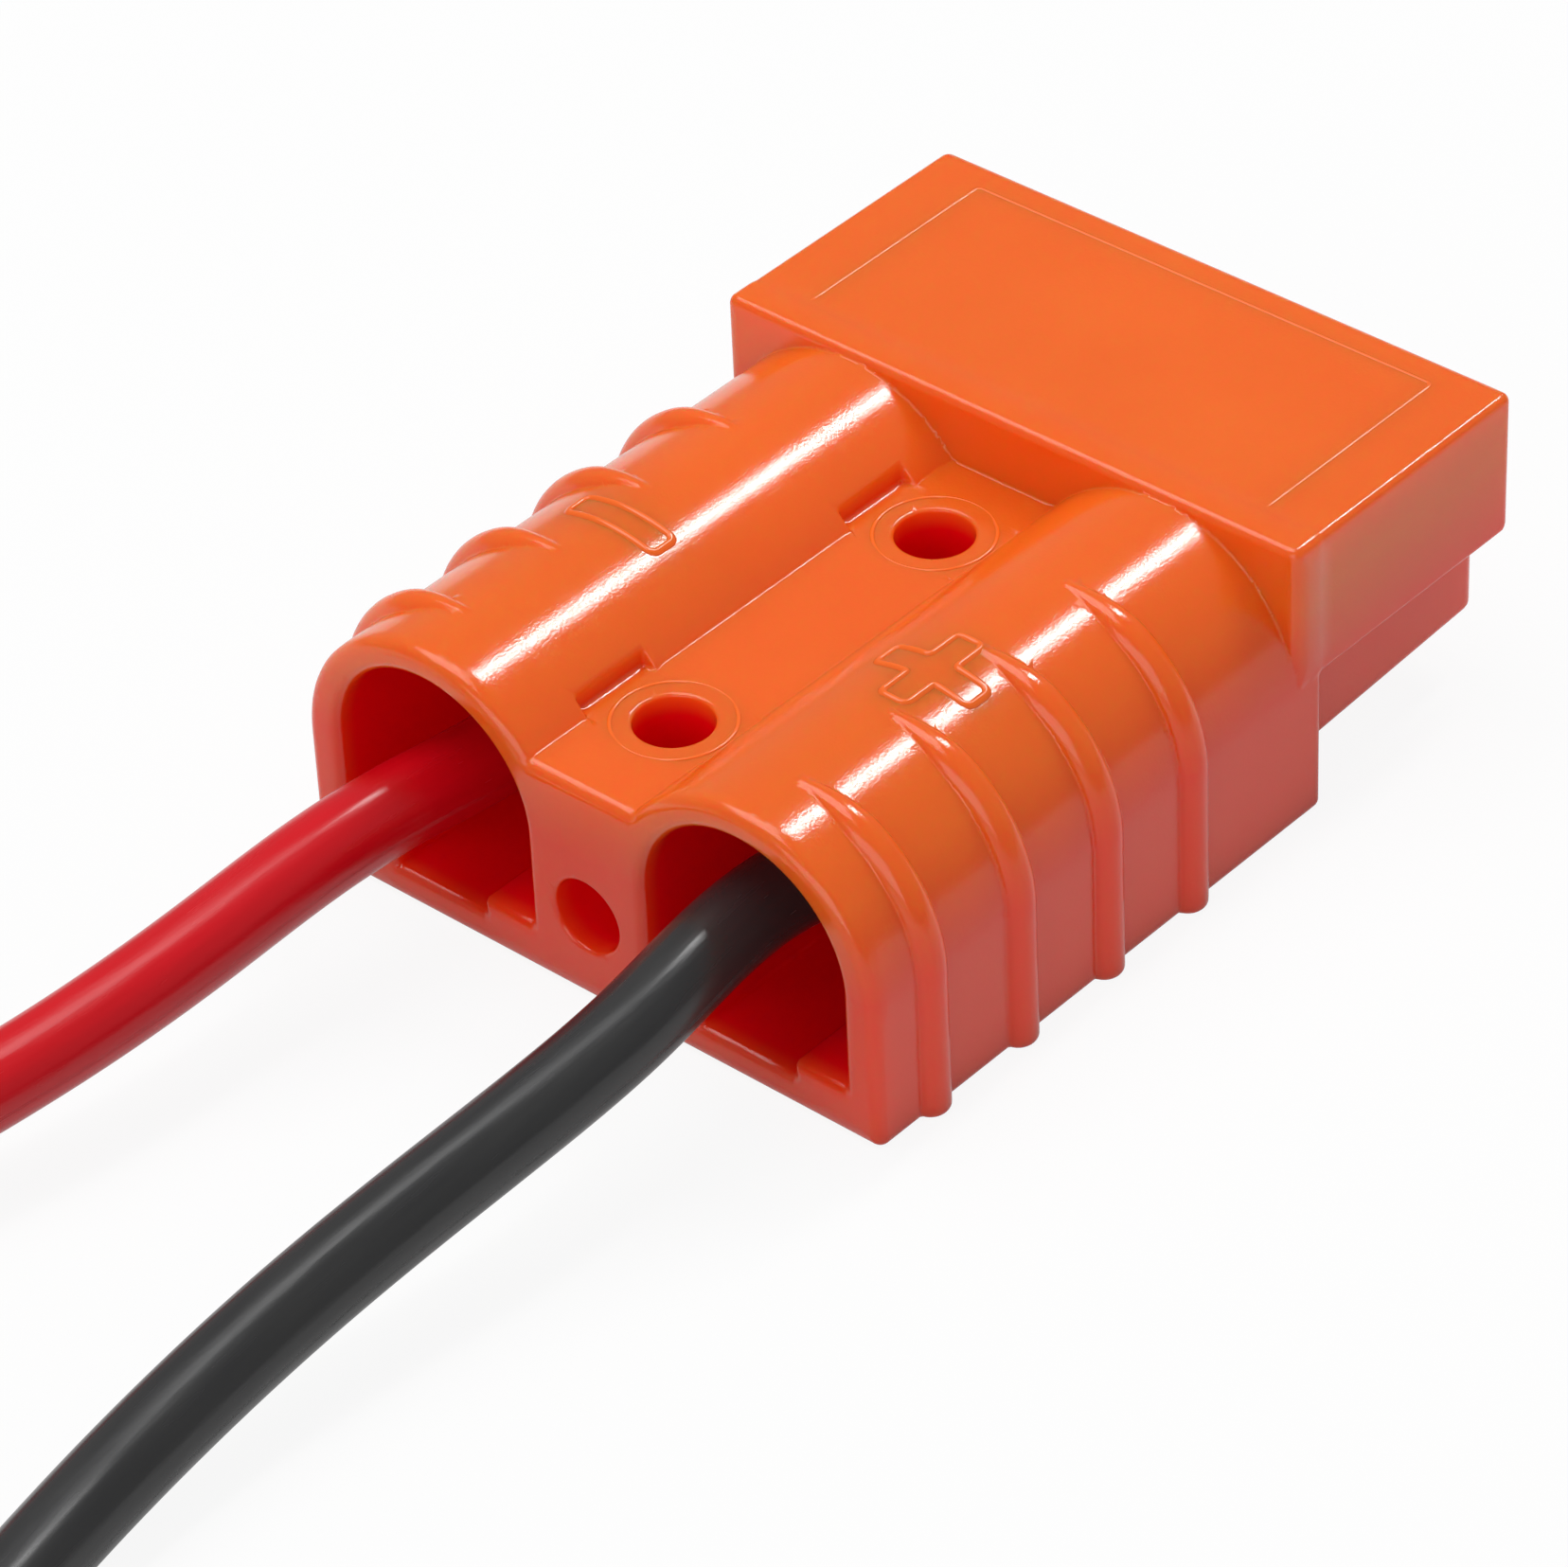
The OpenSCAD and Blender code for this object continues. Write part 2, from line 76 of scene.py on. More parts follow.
def camera_turn(azimuth, elevation, roll):
    """Columns are the camera's right, its up and the way back from the scene. Back points from
    the scene to the camera at that azimuth and elevation, and the roll turns the level right and
    the up about it."""
    a, e, r = (math.radians(angle) for angle in (azimuth, elevation, roll))
    back = Vector((math.sin(a) * math.cos(e), -math.cos(a) * math.cos(e), math.sin(e)))
    level = Vector((0, 0, 1)).cross(back).normalized()
    upright = back.cross(level)
    right = math.cos(r) * level + math.sin(r) * upright
    up = math.cos(r) * upright - math.sin(r) * level
    return Matrix((right, up, back)).transposed()


camera_data = bpy.data.cameras.new("studio_camera")
camera_data.sensor_width = SENSOR_WIDTH
camera_data.lens = FOCAL_LENGTH_IN_PIXELS / PICTURE_WIDTH * SENSOR_WIDTH
camera = bpy.data.objects.new("studio_camera", camera_data)
bpy.context.scene.collection.objects.link(camera)
turn = camera_turn(CAMERA_AZIMUTH, CAMERA_ELEVATION, CAMERA_ROLL)
camera.matrix_world = Matrix.Translation(CAMERA_PLACE) @ turn.to_4x4()
bpy.context.scene.camera = camera
bpy.context.scene.view_settings.view_transform = "Standard"
print("lens in mm:", round(camera_data.lens, 2))

# %% [markdown]
# Every new surface below is a grid of points worked out by a formula, and this helper turns such
# a grid into a mesh. The grid has rows and columns. Where a direction closes on itself, as around
# a tube, the last column joins the first. An open end of a tube is closed with a fan around its
# middle point.

# %% A mesh from a grid of points


def new_object(name, points, faces, smooth=True):
    """A mesh object at the origin from an array of points and a list of faces."""
    mesh = bpy.data.meshes.new(name)
    mesh.from_pydata(points.reshape(-1, 3).tolist(), [], faces)
    mesh.polygons.foreach_set("use_smooth", np.full(len(mesh.polygons), smooth))
    mesh.update()
    piece = bpy.data.objects.new(name, mesh)
    bpy.context.scene.collection.objects.link(piece)
    return piece


def grid_faces(rows, columns, closed_rows=False):
    """Four-sided faces between the neighbours of a grid whose columns close on themselves."""
    row = np.arange(rows if closed_rows else rows - 1)
    column = np.arange(columns)
    r, c = (part.ravel() for part in np.meshgrid(row, column, indexing="ij"))
    r_next = (r + 1) % rows
    c_next = (c + 1) % columns
    here, ahead = r * columns, r_next * columns
    return np.stack((here + c, here + c_next, ahead + c_next, ahead + c), axis=1).tolist()


def measure(piece):
    """Prints a piece's triangles and the volume that its faces enclose, which is positive where
    they point outwards. Each triangle and the origin make a pyramid, whose volume is a sixth of a
    times the cross product of b and c, and the pyramids add up."""
    mesh = piece.data
    mesh.calc_loop_triangles()
    places = np.empty(3 * len(mesh.vertices))
    mesh.vertices.foreach_get("co", places)
    corner = np.empty(3 * len(mesh.loop_triangles), dtype=np.int32)
    mesh.loop_triangles.foreach_get("vertices", corner)
    a, b, c = places.reshape(-1, 3)[corner.reshape(-1, 3)].transpose(1, 0, 2)
    volume = (a * np.cross(b, c)).sum() / 6
    print(f"{piece.name}: {len(corner) // 3} triangles around {volume / MM**3:.1f} cubic mm")


def end_fans(rows, columns):
    """Triangles that close both ends of a tube, around two extra points after the grid's own."""
    c = np.arange(columns)
    c_next = (c + 1) % columns
    first_middle = np.full(columns, rows * columns)
    last_row = (rows - 1) * columns
    first = np.stack((first_middle, c_next, c), axis=1)
    last = np.stack((first_middle + 1, last_row + c, last_row + c_next), axis=1)
    return first.tolist() + last.tolist()


# %% Pieces in the places of the bare solids


def take_place(piece, node):
    """Puts a dressed piece in a bare solid's place, on the part's one body."""
    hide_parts(node)
    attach(piece, "root")


def both_poles(make, node):
    """Makes a piece for each pole, puts it in its solid's place and returns both by their side.
    The make function gets the side and its colour, which also stands for {} in the solid's name."""
    pieces = {}
    for side, colour in COLOUR_OF.items():
        pieces[side] = make(side, colour)
        take_place(pieces[side], f"{node}_{colour}")
        measure(pieces[side])
    return pieces


print("poles:", list(COLOUR_OF.values()))

# %% [markdown]
# A lead is a fixed length of stranded copper under soft insulation. It comes out of its cable
# way, sinks to the table in one slow curve, and past the picture's edge it is folded back in a
# loop, held by a tie. Its route is a short list of points, and a smooth line through them shows
# no corners: each stretch is a cubic, and its slope and its bend agree with the next one's where
# they meet.

# %% The leads' routes
LEAD_DIAMETER = 4.3 * MM
LINE_STEP = 0.75 * MM
FINE_STEPS = 4000
RED_ROUTE = [
    (-9.8, -14.7, 7.7), (-9.65, -19.5, 7.56), (-10.19, -25, 7.75), (-10.78, -31, 7.58),
    (-11.27, -38, 6.76), (-12.1, -45, 5.83), (-13.38, -52, 5.04), (-15.21, -60, 4.31),
    (-17.43, -69, 3.7), (-19.64, -79, 3.26), (-21.11, -89, 3), (-21.6, -98, 2.9),
    (-21.7, -105, 2.9), (-21.7, -109, 2.9),
    (-20.4, -116.2, 2.7), (-16.6, -122.4, 2.4), (-9.9, -129.8, 2.2), (-5.5, -138.3, 2.2),
    (-5.8, -148, 2.2), (-10.8, -156.2, 2.2), (-19.2, -160.9, 2.2), (-28.8, -160.9, 2.2),
    (-37.2, -156.2, 2.2), (-42.2, -148, 2.2), (-42.5, -138.3, 2.2), (-38.1, -129.8, 2.2),
    (-31.4, -122.4, 2.4), (-27.6, -116.2, 2.7), (-26.3, -109, 2.9), (-26.3, -105, 2.9),
    (-27, -98, 3), (-29.2, -90.5, 3), (-30.4, -82, 3), (-30.5, -73, 3),
]
BLACK_ROUTE = [
    (9.8, -14.7, 7.7), (9.17, -19.5, 8.63), (9.25, -25, 8.78), (9.66, -31, 8.1),
    (9.41, -38, 7.13), (8.75, -45, 6.09), (8.25, -52, 5.03), (8.24, -59, 4.07),
    (8.79, -66, 3.32), (10.09, -74, 2.79), (12.1, -83, 2.59), (14.14, -92, 2.68),
    (15.59, -101, 2.85), (16.1, -109, 2.9), (16.2, -116, 2.9), (16.2, -120, 2.9),
    (14.9, -127.2, 2.7), (11.1, -133.4, 2.4), (4.4, -140.8, 2.2), (0, -149.3, 2.2),
    (0.3, -159, 2.2), (5.3, -167.2, 2.2), (13.7, -171.9, 2.2), (23.3, -171.9, 2.2),
    (31.7, -167.2, 2.2), (36.7, -159, 2.2), (37, -149.3, 2.2), (32.6, -140.8, 2.2),
    (25.9, -133.4, 2.4), (22.1, -127.2, 2.7), (20.8, -120, 2.9), (20.8, -116, 2.9),
    (21.7, -109, 3), (22.95, -102, 3), (23.1, -94, 3),
]
ROUTE_OF = {RED: np.array(RED_ROUTE) * MM, BLACK: np.array(BLACK_ROUTE) * MM}


def smooth_line(points, spacing):
    """Points evenly spaced along the cubic line through the given ones. The bend at each given
    point is solved from its neighbours' so that slopes agree, and is nothing at the two ends."""
    gaps = np.linalg.norm(np.diff(points, axis=0), axis=1)
    along = np.concatenate(([0], np.cumsum(gaps)))
    count = len(points)
    system = np.eye(count)
    wanted = np.zeros((count, 3))
    slopes = np.diff(points, axis=0) / gaps[:, None]
    inner = np.arange(1, count - 1)
    system[inner, inner - 1] = gaps[:-1]
    system[inner, inner] = 2 * (gaps[:-1] + gaps[1:])
    system[inner, inner + 1] = gaps[1:]
    wanted[1:-1] = 6 * np.diff(slopes, axis=0)
    bends = np.linalg.solve(system, wanted)

    def line_at(where):
        piece = np.clip(np.searchsorted(along, where, side="right") - 1, 0, count - 2)
        gap = gaps[piece][:, None]
        after = (where - along[piece])[:, None]
        before = gap - after
        cubic = (bends[piece] * before**3 + bends[piece + 1] * after**3) / (6 * gap)
        left = (points[piece] / gap - bends[piece] * gap / 6) * before
        right = (points[piece + 1] / gap - bends[piece + 1] * gap / 6) * after
        return cubic + left + right

    dense = line_at(np.linspace(0, along[-1], FINE_STEPS))
    travelled = np.concatenate(([0], np.cumsum(np.linalg.norm(np.diff(dense, axis=0), axis=1))))
    even = np.linspace(0, travelled[-1], int(travelled[-1] / spacing) + 1)
    return np.stack([np.interp(even, travelled, dense[:, k]) for k in range(3)], axis=1)


lead_lines = {side: smooth_line(ROUTE_OF[side], LINE_STEP) for side in (RED, BLACK)}
for side, line in lead_lines.items():
    length = np.linalg.norm(np.diff(line, axis=0), axis=1).sum()
    print(COLOUR_OF[side], "lead:", round(length / MM, 1), "mm")

# %% [markdown]
# The insulation is a round tube along that line. Soft insulation over strands is never quite
# even, so its radius swells and shrinks by about one part in a hundred, in slow waves that travel
# round it, and six faint ridges wind slowly along it over the strands. They split the line of
# light on it. The tube carries its own map, one direction along the lead and one around it, for
# the finish to follow.

# %% The two leads
LEAD_SIDES = 48
WAVE_HEIGHT = 0.008
LONG_WAVE, SHORT_WAVE = 9 * MM, 5.3 * MM
RIDGES, RIDGE_HEIGHT, RIDGE_WIND = 6, 0.006, 8 * MM
PHASE = 1.7


def tube_frames(line):
    """For each point of a line: its direction, a level direction across it, and one upwards."""
    along = np.gradient(line, axis=0)
    along /= np.linalg.norm(along, axis=1)[:, None]
    across = np.cross([0, 0, 1], along)
    across /= np.linalg.norm(across, axis=1)[:, None]
    return along, across, np.cross(along, across)


def map_tube(piece, rows, columns, length, girth):
    """Writes a map in metres onto the tube: u runs along it and v around it."""
    layer = piece.data.uv_layers.new(name="along_and_around")
    corner = np.empty(len(piece.data.loops), dtype=np.int32)
    piece.data.loops.foreach_get("vertex_index", corner)
    row, column = np.minimum(corner // columns, rows - 1), corner % columns
    u = row / (rows - 1) * length
    v = column / columns * girth
    layer.data.foreach_set("uv", np.stack((u, v), axis=1).ravel())


def lead_surface(name, line, radius, phase):
    """A tube: each point is the line's point plus the radius times (cosine across, sine up). The
    radius is the lead's own, times one plus small waves of the length and of the turn around the
    line, and plus a wave that goes six times around and turns slowly along the lead."""
    rows = len(line)
    _, across, up = tube_frames(line)
    turn = np.arange(LEAD_SIDES) / LEAD_SIDES * 2 * np.pi
    length = np.linalg.norm(line[1] - line[0]) * (rows - 1)
    way = np.linspace(0, length, rows)[:, None]
    slow = np.sin(way / LONG_WAVE + phase + turn) + np.sin(way / SHORT_WAVE - phase - 2 * turn)
    ridges = np.sin(RIDGES * turn + way / RIDGE_WIND + phase)
    grown = radius * (1 - WAVE_HEIGHT + WAVE_HEIGHT * 0.5 * slow + RIDGE_HEIGHT * ridges)
    cosine, sine = np.cos(turn)[None, :, None], np.sin(turn)[None, :, None]
    round_part = cosine * across[:, None] + sine * up[:, None]
    points = line[:, None] + grown[:, :, None] * round_part
    ends = np.stack((line[0], line[-1]))
    faces = grid_faces(rows, LEAD_SIDES) + end_fans(rows, LEAD_SIDES)
    piece = new_object(name, np.concatenate((points.reshape(-1, 3), ends)), faces)
    map_tube(piece, rows, LEAD_SIDES, length, 2 * np.pi * radius)
    return piece


leads = {}
for side, line in lead_lines.items():
    colour = COLOUR_OF[side]
    lead = lead_surface(f"insulation_{colour}", line, LEAD_DIAMETER / 2, phase=PHASE * side)
    take_place(lead, f"lead_{colour}")
    leads[side] = lead
    measure(lead)

# %% [markdown]
# The housing is one moulding: arches, a valley, a head, a hood and a tongue that all grow into
# each other, with every edge a little round. It could be built from the bare solid with a bevel,
# but a bevel tears where three or four such edges meet, and no single sweep has this form. So it
# is written as a distance formula: for any point in space, how far it is from the housing's skin,
# negative inside. Two solids join by taking the smaller distance, a hollow is cut by taking the
# larger of the solid's and minus the hollow's, and a circle in place of the corner between the
# two gives each edge its radius.

# %% Rules that join and cut with round edges


def cut_round(solid, limit, radius):
    """Both at once, with the outer edge between them rounded: the larger of the two distances,
    where the corner is replaced by the distance to a circle of that radius."""
    inside = np.minimum(np.maximum(solid, limit), -radius)
    return inside + np.hypot(np.maximum(solid + radius, 0), np.maximum(limit + radius, 0))


def join_round(first, second, radius):
    """Either of the two, with the inner corner between them filled by a circle of that radius."""
    outside = np.maximum(np.minimum(first, second), radius)
    return outside - np.hypot(np.maximum(radius - first, 0), np.maximum(radius - second, 0))


def carved(solid, *cuts):
    """The solid cut by several limits in turn, each with the radius of its edge."""
    for limit, radius in cuts:
        solid = cut_round(solid, limit, radius)
    return solid


def box_distance(across, along, half_across, half_along, radius):
    """Distance to a rectangle with round corners, from its middle."""
    a = np.abs(across) - half_across + radius
    b = np.abs(along) - half_along + radius
    return np.hypot(np.maximum(a, 0), np.maximum(b, 0)) + np.minimum(np.maximum(a, b), 0) - radius


def between(value, low, high):
    """How far a value lies outside the stretch from low to high, negative within it."""
    return np.maximum(low - value, value - high)


def eased(part):
    """Nothing below 0, one above 1, and a soft S between them."""
    part = np.clip(part, 0, 1)
    return part * part * (3 - 2 * part)


taken_off = float(cut_round(np.zeros(1), np.zeros(1), 0.5)[0])
print("a round edge takes off", round(taken_off, 3), "of 0.5 mm")

# %% [markdown]
# A mesh of such a skin comes from sampling the formula on a fine grid, letting a volume mesher
# walk along the places where it changes sign, and then moving every point the last small way onto
# the true skin along the formula's own slope. The slope is also the skin's true direction, so
# each point keeps it as its normal, and flat faces stay flat next to round edges. The mesher uses
# few large faces where the skin is flat and many small ones where it bends. It walks a hair
# beside the skin, because a grid point exactly on it would give faces without any area.

# %% From a formula to a mesh
SLOPE_STEP = 0.01
LEAST_STEEP = 0.25
NARROW_BAND = 3
OFF_GRID = 0.002


def slope_of(formula, points):
    """The formula's change along each axis, from its values a small step ahead and behind."""
    slope = np.empty_like(points)
    for axis in range(3):
        shift = np.zeros(3)
        shift[axis] = SLOPE_STEP
        change = formula(*(points + shift).T) - formula(*(points - shift).T)
        slope[:, axis] = change / (2 * SLOPE_STEP)
    return slope


def to_skin(formula, points, rounds=3):
    """Moves each point along the slope by the distance that the formula gives there."""
    for _ in range(rounds):
        slope = slope_of(formula, points)
        steep = np.maximum((slope**2).sum(axis=1), LEAST_STEEP)
        points = points - slope * (formula(*points.T) / steep)[:, None]
    return points


def moulded(name, formula, low, high, voxel=0.14, adaptivity=0.02, both_sides=False):
    """A piece whose skin is where the formula, in millimetres, is nothing. With both_sides the
    formula is the same on the two sides of the middle plane, and only the half at plus X is
    worked out."""
    start = np.array(low, dtype=float) - NARROW_BAND * voxel
    if both_sides:
        start[0] = 0
    margin = NARROW_BAND * voxel
    x, y, z = (np.arange(a, b + margin, voxel, dtype=np.float32) for a, b in zip(start, high))
    values = formula(x[:, None, None], y[None, :, None], z[None, None, :])
    if both_sides:
        values = np.concatenate((values[:0:-1], values), axis=0)
        start[0] = -float(x[-1])
    grid = openvdb.FloatGrid(margin)
    near_skin = np.clip(values, -margin, margin)
    grid.copyFromArray(np.ascontiguousarray(near_skin, dtype=np.float32))
    cells, triangles, squares = grid.convertToPolygons(isovalue=OFF_GRID, adaptivity=adaptivity)
    skin = to_skin(formula, cells.astype(np.float64) * voxel + start)
    piece = new_object(name, skin * MM, triangles.tolist() + squares.tolist())
    normals = slope_of(formula, skin)
    normals /= np.maximum(np.linalg.norm(normals, axis=1), 1e-9)[:, None]
    piece.data.normals_split_custom_set_from_vertices(normals.tolist())
    return piece


print("the skin is looked for within", NARROW_BAND, "steps of the grid")

# %% [markdown]
# These are the housing's main sizes in millimetres, the same ones that the bare solid has, and
# the radius of each kind of edge. The housing is its own mirror image across the middle, apart
# from its marks, so its formulas only need the distance from the middle plane.

# %% Sizes of the housing
WIDTH, LENGTH, HEIGHT = 36.0, 48.4, 16.2
REAR = -LENGTH / 2
FRONT = LENGTH / 2
HEAD = REAR + 31.2
BLOCK = HEAD + 2.2
ARCH_RADIUS = 8.2
WAY_X = WIDTH / 2 - ARCH_RADIUS
ARCH_Z = HEIGHT - 0.3 - ARCH_RADIUS
VALLEY = 12.65
MATE_Z = HEIGHT / 2
FINE_EDGE = 0.15
HOLE_EDGE = 0.25
HOOD_EDGE = 0.3
EDGE = 0.45
MOUTH_EDGE = 0.6
REAR_EDGE = 0.7
print("housing:", WIDTH, "x", LENGTH, "x", HEIGHT, "mm")

# %% The cable section with its ribs
WEB_FILLET = 0.03
SECTION_OVERLAP = 1.2
FIRST_RIB, RIB_PITCH, RIB_COUNT = REAR + 4.0, 6.4, 4
RIB_OUT, RIB_UP = 0.7, 0.35
RIB_RADIUS = 1.0
RIB_TIP_ANGLE = 0.55
RIB_TIP_DROP = 0.3
RIB_FOOT_EDGE = 0.4
RIB_FILLET = 0.06


def cable_section(x, y, z):
    """Two arches on straight sides, joined by the valley's web, cut off at the base and at the
    rear. An arch is the distance to a line at its centre, minus its radius; below the centre, to
    a wall."""
    arch = np.where(z > ARCH_Z, np.hypot(x - WAY_X, z - ARCH_Z), np.abs(x - WAY_X)) - ARCH_RADIUS
    web = np.maximum(x - WAY_X, z - VALLEY)
    section = carved(join_round(arch, web, WEB_FILLET), (-z, EDGE), (REAR - y, REAR_EDGE))
    return np.maximum(section, y - HEAD - SECTION_OVERLAP)


def grip_ribs(x, y, z):
    """A rod of round section bent around a centre a little outside the arch's own, then straight
    down the side to the base. It grows thin and low towards its tip at the crest. Of the four
    ribs the nearest one counts."""
    out, up = x - WAY_X - RIB_OUT, z - ARCH_Z - RIB_UP
    grown = eased(np.arctan2(out, np.maximum(up, 1e-6)) / RIB_TIP_ANGLE)
    thick = RIB_RADIUS * (0.5 + 0.5 * grown)
    reach = ARCH_RADIUS - RIB_TIP_DROP * (1 - grown) - thick
    bent = np.abs(np.hypot(out, up) - reach)
    bent = np.where(up < 0, np.abs(out - reach), bent)
    bent = np.where(out < 0, np.hypot(out, up - reach), bent)
    number = np.clip(np.round((y - FIRST_RIB) / RIB_PITCH), 0, RIB_COUNT - 1)
    away = y - (FIRST_RIB + RIB_PITCH * number)
    return cut_round(np.hypot(bent, away) - thick, -z, RIB_FOOT_EDGE)


print("ribs:", RIB_COUNT, "on each side,", RIB_PITCH, "mm apart")

# %% The head, the hood and the tongue
HEAD_CORNER = 0.55
HOOD_NOSE = 1.1
TONGUE_HALF_WIDTH = 16.5
TONGUE_FRONT = FRONT - 0.6
TONGUE_TOP = MATE_Z - 0.2
TONGUE_BOTTOM = 2.4
TONGUE_RISE = 0.7
TONGUE_CORNER = 0.9
TONGUE_EDGE = 0.5
TONGUE_NOSE = 1.6


def nose(y, z_inside, front, radius):
    """The round lower front corner of a slab seen from the side. z_inside is how far above the
    slab's underside a point lies."""
    return np.hypot(np.maximum(y - front + radius, 0), np.maximum(radius - z_inside, 0)) - radius


def upright_slab(x, y, half_width, end, corner):
    """The plan of a slab from the head's rear to its own end, with round upright corners."""
    return box_distance(x, y - (HEAD + end) / 2, half_width, (end - HEAD) / 2, corner)


def head_block(x, y, z):
    """The full height slab that carries the hood above and the tongue below."""
    slab = upright_slab(x, y, WIDTH / 2, BLOCK, HEAD_CORNER)
    return carved(slab, (z - HEIGHT, EDGE), (-z, EDGE))


def hood(x, y, z):
    """The upper half of the mating end: a slab with round corners and a round nose below."""
    slab = upright_slab(x, y, WIDTH / 2, FRONT, HEAD_CORNER)
    slab = carved(slab, (z - HEIGHT, EDGE), (MATE_Z - z, HOOD_EDGE))
    return np.maximum(slab, nose(y, z - MATE_Z, FRONT, HOOD_NOSE))


def tongue(x, y, z):
    """The lower half: a slab a little narrower than the hood's inside, whose underside rises."""
    slab = upright_slab(x, y, TONGUE_HALF_WIDTH, TONGUE_FRONT, TONGUE_CORNER)
    above = z - TONGUE_BOTTOM - TONGUE_RISE * (y - BLOCK) / (TONGUE_FRONT - BLOCK)
    slab = carved(slab, (-above, TONGUE_EDGE), (z - TONGUE_TOP, HOOD_EDGE))
    return np.maximum(slab, nose(y, above, TONGUE_FRONT, TONGUE_NOSE))


print("head:", WIDTH, "x", round(FRONT - HEAD, 2), "mm")

# %% The hollows for leads and contacts
WAY_RADIUS = 6.1
WAY_TOP_Z = ARCH_Z + 0.5
WAY_END = REAR + 17.0
LEDGE_Z = 2.7
GROOVE_MIDDLE, GROOVE_HALF_WIDTH, GROOVE_HALF_HEIGHT = 4.8, 2.9, 3.0
GROOVE_FILLET = 0.2
BARREL_Z = MATE_Z - 0.4
BARREL_START = REAR + 10.5
BARREL_END = BARREL_START + 11.5
BARREL_ROOM = 3.5
PASSAGE = BARREL_END + 1.0
PASSAGE_HALF_WIDTH = 4.3
NECK_END = BARREL_END + 4.0
BLADE_ROOM = 0.3
CHANNEL_Z = TONGUE_BOTTOM + 2.0
CHANNEL_TOP = MATE_Z + 0.5
CHANNEL_END = TONGUE_FRONT - 1.2
OVERLAP = 0.1


def cable_way(x, y, z):
    """One cable way: round on top, straight at the sides, with a groove between two ledges."""
    out = x - WAY_X
    room = np.where(z > WAY_TOP_Z, np.hypot(out, z - WAY_TOP_Z), np.abs(out)) - WAY_RADIUS
    room = cut_round(room, LEDGE_Z - z, FINE_EDGE)
    groove = box_distance(out, z - GROOVE_MIDDLE, GROOVE_HALF_WIDTH, GROOVE_HALF_HEIGHT, FINE_EDGE)
    return np.maximum(join_round(room, groove, GROOVE_FILLET), y - WAY_END)


def contact_passage(x, y, z):
    """The narrow end of the way around the barrel, the passage of neck and blade, and the
    tongue's channel, each a straight hollow along Y."""
    out = x - WAY_X
    round_room = np.hypot(out, z - BARREL_Z) - BARREL_ROOM
    hollow = np.maximum(round_room, between(y, WAY_END - 1, PASSAGE + OVERLAP))
    for start, end, top in (
        (PASSAGE, NECK_END, BARREL_Z + BARREL_ROOM),
        (PASSAGE, BLOCK + 2 * OVERLAP, MATE_Z + BLADE_ROOM),
        (BLOCK, CHANNEL_END, CHANNEL_TOP),
    ):
        middle, half_height = (CHANNEL_Z + top) / 2, (top - CHANNEL_Z) / 2
        stretch = box_distance(out, z - middle, PASSAGE_HALF_WIDTH, half_height, FINE_EDGE)
        hollow = np.minimum(hollow, np.maximum(stretch, between(y, start, end)))
    return hollow


print("roof over a way:", round(ARCH_Z + ARCH_RADIUS - WAY_TOP_Z - WAY_RADIUS, 2), "mm")

# %% The space under the hood, the notches and the holes
ROOM_ROOF, ROOM_FLOOR = HEIGHT - 2.2, MATE_Z - 3
ROOM_HALF_WIDTH = 16.7
ROOM_CORNER = 0.4
HOLE_RADIUS = 2.0
HOLE_YS = (REAR + 6.8, REAR + 6.8 + 19.05)
NOTCH_HALF_WIDTH, NOTCH_HALF_LENGTH, NOTCH_CORNER = 4.1, 2.4, 0.2
PILOT_Z = 5.0
PILOT_DEPTH = 3.4


def hood_space(x, y, z):
    """The room under the hood for a mating tongue."""
    middle, half_height = (ROOM_ROOF + ROOM_FLOOR) / 2, (ROOM_ROOF - ROOM_FLOOR) / 2
    room = box_distance(x, z - middle, ROOM_HALF_WIDTH, half_height, ROOM_CORNER)
    return np.maximum(room, BLOCK - y)


def fixing_holes(x, y, z):
    """Both holes through the valley."""
    return np.minimum(*(np.hypot(x, y - place) - HOLE_RADIUS for place in HOLE_YS))


def arch_notches(x, y, z):
    """A square notch in both arches beside each fixing hole, for the head of its screw."""
    notches = np.minimum(*(
        box_distance(x, y - place, NOTCH_HALF_WIDTH, NOTCH_HALF_LENGTH, NOTCH_CORNER)
        for place in HOLE_YS
    ))
    return np.maximum(notches, VALLEY - z)


def pilot_hole(x, y, z):
    """The blind hole in the rear face, between the two ways."""
    return np.maximum(np.hypot(x, z - PILOT_Z) - HOLE_RADIUS, y - REAR - PILOT_DEPTH)


print("fixing holes at Y:", [round(place, 2) for place in HOLE_YS], "mm")

# %% [markdown]
# The whole housing is those parts put together in the order in which a toolmaker would think of
# them: first what is solid, with a small fillet where one part grows out of another, then what is
# cut away. The openings that a cable goes into have the softest edges.

# %% The whole housing
HOOD_FILLET = 0.2
HEAD_FILLET = 0.01
TONGUE_FILLET = 0.25
RIB_ROOM = 0.75


def outer_form(x, y, z):
    """Cable section, ribs, head and hood in one, before anything is cut away."""
    section = join_round(cable_section(x, y, z), grip_ribs(x, y, z), RIB_FILLET)
    head = join_round(head_block(x, y, z), hood(x, y, z), HOOD_FILLET)
    return join_round(section, head, HEAD_FILLET)


def housing_distance(x, y, z):
    """How far a point is from the housing's skin in millimetres, negative inside the plastic."""
    x = np.abs(x)
    solid = cut_round(outer_form(x, y, z), -hood_space(x, y, z), HOOD_EDGE)
    solid = join_round(solid, tongue(x, y, z), TONGUE_FILLET)
    return carved(
        solid, (-contact_passage(x, y, z), FINE_EDGE), (-cable_way(x, y, z), MOUTH_EDGE),
        (-arch_notches(x, y, z), FINE_EDGE), (-fixing_holes(x, y, z), HOLE_EDGE),
        (-pilot_hole(x, y, z), HOLE_EDGE),
    )


